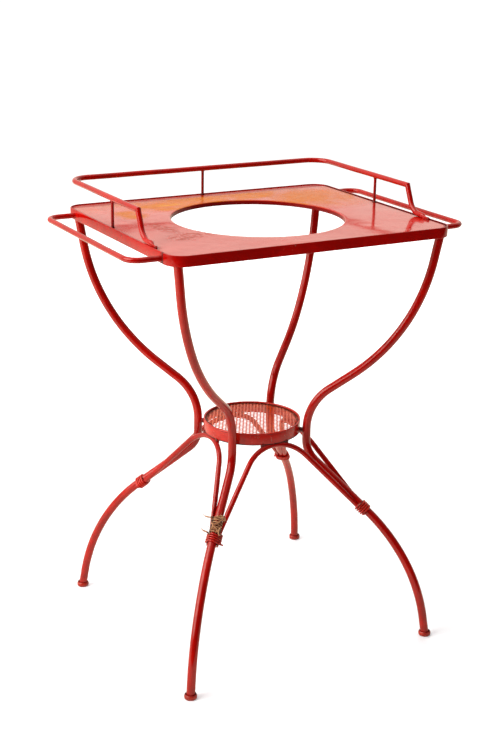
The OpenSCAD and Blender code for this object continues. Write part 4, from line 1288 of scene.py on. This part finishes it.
def arch(name, hand, signs, ends, seed):
    corners, runs = arch_corners(hand)
    line = bent_line(flip(corners, signs), runs, step=5.0)
    low = 1 - np.clip((line[:, 2] - 340) / 30, 0, 1)
    line = line + away_from_ends(line, 16, 1) * low[:, None] * (wobble(line, 0.8, 90, seed) - line)
    rings = rings_on(line, lambda i: circle(ARCH_R, 24))
    for i in range(len(rings)):
        for end in ends:
            rings[i] = hammered(rings[i], end, hand)
    rub = np.where((line[:, 2] > 372) | (line[:, 2] < 262), 0.12, 0.0)
    make_piece("arch_" + name, bar_shape(rings, rub), frame_enamel,
               ("arch_rod_" + name,))


FL, FR, RL, RR = CORNERS.values()
arch("rear", 1, RR, (RR, RL), 1)
arch("front", 1, FR, (FR, FL), 2)
arch("right", -1, RR, (RR, FR), 3)
arch("left", -1, RL, (RL, FL), 4)

# %% [markdown]
# ## Wire wraps
# Soft iron wire is wound four times round each leg and its two rods, and its
# ends are nipped off and stick out a little. The centre line is a tight path:
# at each angle round the bundle, the farthest of three circles carries it.
# The paint has run between the turns, which a thin sleeve under them shows; the sleeve is darkened
# as painted shade between the turns.

# %% Tight path round the bundle
def slope_way(hand):
    """Direction of a rod once it has left the leg."""
    corners, _ = arch_corners(hand)
    return unit(corners[2] - corners[1])


SLOPES = {hand: slope_way(hand) for hand in (1, -1)}


def rod_at(hand, up):
    """Centre of a rod at a height up the leg, as (towards inner, sideways)."""
    way = SLOPES[hand]
    c, x = -way @ SHIN, (up - GUIDE_UP) / GUIDE_RUN
    if x <= -1:
        off = -(up - GUIDE_UP) * SHIN
    elif x >= c:
        off = way * (up - GUIDE_UP) / c
    else:
        t = (1 - math.sqrt(1 - (1 - c) * (1 + x))) / (1 - c)
        off = GUIDE_RUN * ((1 - t) ** 2 * SHIN + t * t * way)
    p = beside(hand, -GUIDE_UP) + off - WRAP_AT + up * SHIN
    return p @ INNER, p @ SIDEWAYS


def tight(up, angle, off):
    """Point of the tight path at a height, off the bundle's surface."""
    step = math.radians(7.5)
    circles = [((0.0, 0.0), LEG_R), (rod_at(1, up), ARCH_R), (rod_at(-1, up), ARCH_R)]

    def reach(a):
        return max(c[0] * math.cos(a) + c[1] * math.sin(a) + r + off for c, r in circles)

    p, q = reach(angle), reach(angle + step)
    s, c = math.sin(angle), math.cos(angle)
    s2, c2 = math.sin(angle + step), math.cos(angle + step)
    return np.array([p * s2 - q * s, q * c - p * c2]) / math.sin(step)


def at_leg(signs, inner, side, up):
    """A point near a leg's wraps, mirrored to that leg."""
    return flip(WRAP_AT + inner * INNER + side * SIDEWAYS - up * SHIN, signs)


print("rods at the wraps", [tuple(round(v, 2) for v in rod_at(hand, 0)) for hand in (1, -1)])

# %% Four wraps
WIRE_R, LOOPS, WIRE_PITCH, WIRE_START, PER_LOOP = 1.7, 4, 4.4, -8.8, 40


def wire_wrap(name, signs, seed):
    line = []
    for k in range(LOOPS * PER_LOOP + 1):
        angle = math.radians(120 + 360 * k / PER_LOOP)
        up = WIRE_START + WIRE_PITCH * k / PER_LOOP + 0.35 * math.sin(angle * 2 + seed)
        q = tight(up, angle, WIRE_R + 0.35 + 0.15 * noise.noise(Vector((k / 9, seed, 0))))
        line.append(at_leg(signs, q[0], q[1], up))
    line = np.array(line)
    start, stop = unit(line[0] - line[2]), unit(line[-1] - line[-3])
    centre, way = flip(WRAP_AT, signs), flip(SHIN, signs)

    def out_of(p):
        v = p - centre
        return unit(v - (v @ way) * way)

    a, b = line[0], line[-1]
    line = np.vstack([[a + start * t + out_of(a) * t * t * 0.06 for t in (6.5, 4.5, 2.5)], line,
                      [b + stop * t + out_of(b) * t * t * 0.07 for t in (2.5, 4.5, 6.5)]])
    rings = rings_on(line, lambda i: circle(
        WIRE_R * (1 + 0.05 * noise.noise(Vector((i / 5, seed, 2)))), 12))
    shape = bar_shape(rings, rubbed_ends(line, 4, 0.6))
    sleeve = []
    for up in (-8.2, -8.0, -6, -3, 0, 3, 6, 8.0, 8.2):
        inset = -0.6 if abs(up) > 8.1 else 0.55 + 0.25 * math.sin(up * 1.43)
        sleeve.append([at_leg(signs, *tight(up, math.radians(7.5 * k), inset), up)
                       for k in range(48)])
    sleeve = np.array(sleeve)
    # The sleeve is darkened as painted shade in the gaps between the turns
    shape.add(skin_of(sleeve if signs[0] * signs[1] > 0 else sleeve[::-1]), 0.1, 0.9)
    make_piece("wound_wire_" + name, shape, painted_wire, ("wire_wrap_" + name,))


for number, (name, signs) in enumerate(CORNERS.items()):
    wire_wrap(name, signs, 5.0 * number)

# %% [markdown]
# ## Twine
# Someone has lashed the front left leg above its wrap with old jute. It goes
# round the leg seven times inside the rods, crosses itself, and leaves two
# frayed ends over the left rod. A hair system could make fuzz, but plied
# strands and a few stray fibres made as tubes hold their shape anywhere.

# %% Plied twine
def ply(line, thick, twist_length, phase):
    """Three strands twisted about a line."""
    lengths = np.concatenate([[0], np.cumsum(np.linalg.norm(np.diff(line, axis=0), axis=1))])
    even = np.linspace(0, lengths[-1], max(8, round(lengths[-1] / 0.9)))
    fine = np.stack([np.interp(even, lengths, line[:, k]) for k in range(3)], 1)
    ways = along(fine)
    side = np.cross(ways[0], (0.3, 0.5, 0.8))
    skins, sides_at, overs_at = [], [], []
    for way in ways:
        side = unit(side - (side @ way) * way)
        sides_at.append(side)
        overs_at.append(np.cross(way, side))
    for s in range(3):
        twist = 2 * math.pi * (even / twist_length + s / 3) + phase
        path = fine + thick * 0.27 * (np.cos(twist)[:, None] * np.array(sides_at)
                                      + np.sin(twist)[:, None] * np.array(overs_at))
        ends = np.minimum(even, lengths[-1] - even).clip(0, 4) / 4
        size = thick * 0.27 * (0.45 + 0.55 * ends)
        skins.append(skin_of(rings_on(path, lambda i: circle(size[i], 7))))
    return skins


def smooth_line(points, each):
    """A Catmull-Rom line through a few chosen points."""
    p = np.array([2 * np.array(points[0]) - points[1], *points,
                  2 * np.array(points[-1]) - points[-2]])
    line = []
    for i in range(1, len(p) - 2):
        for t in np.linspace(0, 1, each, endpoint=False):
            line.append(0.5 * ((2 * p[i]) + (p[i + 1] - p[i - 1]) * t
                               + (2 * p[i - 1] - 5 * p[i] + 4 * p[i + 1] - p[i + 2]) * t * t
                               + (3 * p[i] - p[i - 1] - 3 * p[i + 1] + p[i + 2]) * t ** 3))
    line.append(p[-2])
    return np.array(line)


print("a test line has", len(smooth_line([(0, 0, 0), (9, 0, 0), (9, 9, 0)], 8)), "points")

# %% The lashing, its crossing strands and its fuzz
# Each spot is an angle, a height and a distance from the leg. Each crossing
# strand starts with its thickness, the length of a twist and a phase.
TWINE_THICK, TWINE_TURNS, TURN_STEPS, TWINE_RISE, TWINE_DROP = 3.0, 7, 12, 4.6, 7.5
FRAYED_TOP, FRAYED_LOW = (252, 46.5, 18.0), (250, 18.6, 16.0)
TWINE_START = (FRAYED_TOP, (246, 45, 13.0), (238, 45, 7.5))
TWINE_END = ((212, 12.6, 3.4), (228, 13.5, 5.0), (238, 15.5, 8.4), (246, 16.8, 12.6), FRAYED_LOW)
CROSSING_STRANDS = (
    (2.8, 8.0, 1.0, ((108, 46, 1.5), (135, 40, 4.6), (165, 33, 5.4), (195, 25, 5.0),
                     (232, 17, 2.2), (262, 12, 1.0))),
    (2.8, 8.0, 2.0, ((262, 44, 1.2), (225, 37, 4.4), (190, 27, 6.0), (155, 20, 5.6),
                     (118, 14, 3.0), (100, 12, 1.0))),
    (2.6, 7.0, 0.4, ((100, 30, 1.4), (122, 29, 4.6), (138, 24, 6.4), (142, 17, 6.6),
                     (128, 12.5, 5.0), (112, 14, 3.4), (101, 20, 1.6))),
    (2.6, 7.0, 3.0, ((104, 52, 1.2), (132, 51, 2.4), (165, 48, 3.0), (200, 45, 2.8),
                     (240, 42, 1.6))),
    (2.4, 6.0, 1.4, ((150, 46, 3.0), (118, 48, 5.0), (104, 46, 6.4), (112, 42, 6.8),
                     (130, 43, 5.4), (120, 50, 3.6), (102, 53, 2.2))),
)


def near_leg(angle_deg, up, off):
    """A point round the lashed leg. Angle 180 faces outwards and 90 the front arch."""
    a = math.radians(angle_deg)
    return at_leg(FL, (LEG_R + off) * math.cos(a), (LEG_R + off) * math.sin(a), up - TWINE_DROP)


def twine():
    shape = Shape()
    heart = np.array([at_leg(FL, 0, 0, up) for up in range(-2, 60)])
    outwards = at_leg(FL, math.cos(2.75), math.sin(2.75), 20) - at_leg(FL, 0, 0, 20)

    def add(points, size=TWINE_THICK, twist=9.0, phase=0.0):
        for skin in ply(smooth_line(points, 8), size, twist, phase):
            gap = np.array(skin[0])[:, None] - heart[None]
            reach = np.linalg.norm(gap, axis=2)
            near = gap[np.arange(len(gap)), reach.argmin(1)]
            reach = reach.min(1)
            # Painted shade: the twine is darkened on the sides turned away from the direction set
            # above, and deep in against the leg, where shadow falls
            turned = 1 - (near @ outwards) / reach
            deep_shade = 1.0 - (reach - LEG_R - 0.8) / 3.4
            dirt_and_shade = np.maximum(deep_shade, (turned - 0.34) / 0.15) * (reach < 16)
            shape.add(skin, 0.0, np.clip(dirt_and_shade, 0, 1))

    def add_fibre(points, radius):
        fibre = smooth_line(points, 5)
        shape.add(skin_of(rings_on(fibre, lambda i: circle(radius, 5))))

    path = [near_leg(*spot) for spot in TWINE_START]
    for k in range(TWINE_TURNS * TURN_STEPS + 1):
        angle = 222 - 30 * k
        up = 46.0 - TWINE_RISE * k / TURN_STEPS + 1.3 * noise.noise(Vector((k / 3.1, 0, 5)))
        face = max(0.0, -math.cos(math.radians(angle)))
        off = 1.9 + 1.6 * face * abs(noise.noise(Vector((k / 2.3, 2, 1)))) + 0.6 * face
        path.append(near_leg(angle, up, off))
    add(path + [near_leg(*spot) for spot in TWINE_END])
    for size, twist, phase, spots in CROSSING_STRANDS:
        add([near_leg(*spot) for spot in spots], size, twist, phase)
    for k in range(46):
        a = 100 + 158 * (0.5 + 0.5 * math.sin(k * 12.9898))
        u = 12 + 38 * (0.5 + 0.5 * math.sin(k * 78.233 + 1))
        w = 2.0 + 4.0 * abs(math.sin(k * 3.7))
        turn, rise = 26 * math.sin(k * 5.1), 7 * math.sin(k * 9.3 + 2)
        add_fibre([near_leg(a, u, w), near_leg(a + turn * 0.5, u + rise * 0.5, w + 1.5),
                   near_leg(a + turn, u + rise, w + 3.0 * abs(math.sin(k * 2.2)))], 0.16)
    for root, (angle, up, off) in enumerate((FRAYED_TOP, FRAYED_LOW)):
        base = near_leg(angle, up, off)
        for k in range(6):
            spread = np.array([math.sin(k * 2.4 + root), math.cos(k * 1.7),
                               math.sin(k * 4.1)]) * 2.2
            tip = near_leg(angle + 3, up + 2.4, off + 3.2) + spread
            add_fibre([base, (base + tip) / 2 + spread * 0.2, tip], 0.2)
    make_piece("jute_lashing", shape, twine_jute, ("twine_binding",), sharp=60)


twine()

# %% [markdown]
# ## Welds and small marks
# The mitres, the tops of the legs and the lugs are welded, and the beads are
# painted over. Three nicks in the rim's left side have rusted into small
# blisters.

# %% Weld beads
welds = Shape()
for side in (-1, 1):
    corner = np.array([side * GALLERY_X, STOP_Y, GALLERY_Z])
    welds.add(bead(corner, MITRE, ROD_R * 1.02, 0.42, 48, lumps=11, seed=side), 0.2)
make_piece("mitre_welds", welds, rail_enamel)

LEG_TOP_AT, LUG_OUT, LUG_SIDE, LUG_Z = (262.97, 211.97, 793.4), 87.8, 25, 384.6
under_welds = Shape()
for signs in CORNERS.values():
    under_welds.add(bead(flip(LEG_TOP_AT, signs), (0, 0, 1), LEG_R + 0.3, 1.4, 48, lumps=12,
                         seed=signs[0] * 2 + signs[1]), 0.1)
for k in range(4):
    ox, oy = math.cos(math.pi / 2 * k), math.sin(math.pi / 2 * k)
    for s in (-1, 1):
        lug = (LUG_OUT * ox - s * LUG_SIDE * oy, LUG_OUT * oy + s * LUG_SIDE * ox, LUG_Z)
        under_welds.add(bead(lug, (ox, oy, 0), 4.4, 0.8, 24, lumps=7, seed=k + s), 0.2)
make_piece("frame_welds", under_welds, frame_enamel)

# %% Rust blisters
BLISTERS = ((-279.4, 118, 798.2, 1.8), (-279.5, 20, 797.6, 2.2), (-279.5, -29, 794.0, 2.0))
blisters = Shape()
for x, y, z, r in BLISTERS:
    profile = [(0.1, -0.5), (r * 0.8, -0.4), (r, 0), (r * 0.7, 0.45), (0.1, 0.6)]
    rings = turned_rings(profile, (0, 0, 0), sides=14, dent=0.5, seed=y)
    rings = np.stack([x - rings[..., 2], y + rings[..., 0], z + rings[..., 1]], -1)
    blisters.add(skin_of(rings), 1.0)
rust = enamel("rusted_nick", (48, 12, 10), (26, 8, 7), shine=0.6, amount=0.3, scale=600.0)
make_piece("rust_nicks", blisters, rust)

# %% [markdown]
# ## Finishes for the pieces that stay as measured
# Gussets, nuts, the wire ring, studs, spacers and lugs have the right shape
# already, so they only take the new finishes in their material slots.

# %% Paint the measured pieces
def repaint(names, finish):
    for name in names:
        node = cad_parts[name]
        node.data.materials.clear()
        node.data.materials.append(finish)
    print(finish.name, "on", names)


repaint(["corner_gusset_" + name for name in CORNERS], frame_enamel)
repaint(["towel_rail_nuts", "shelf_studs", "shelf_spacers"], painted_fasteners)
# The wire ring takes the darker red as painted shade under the disc
repaint(["grille_ring"], shaded_ring_enamel)
repaint(["arch_lugs"], painted_fasteners)
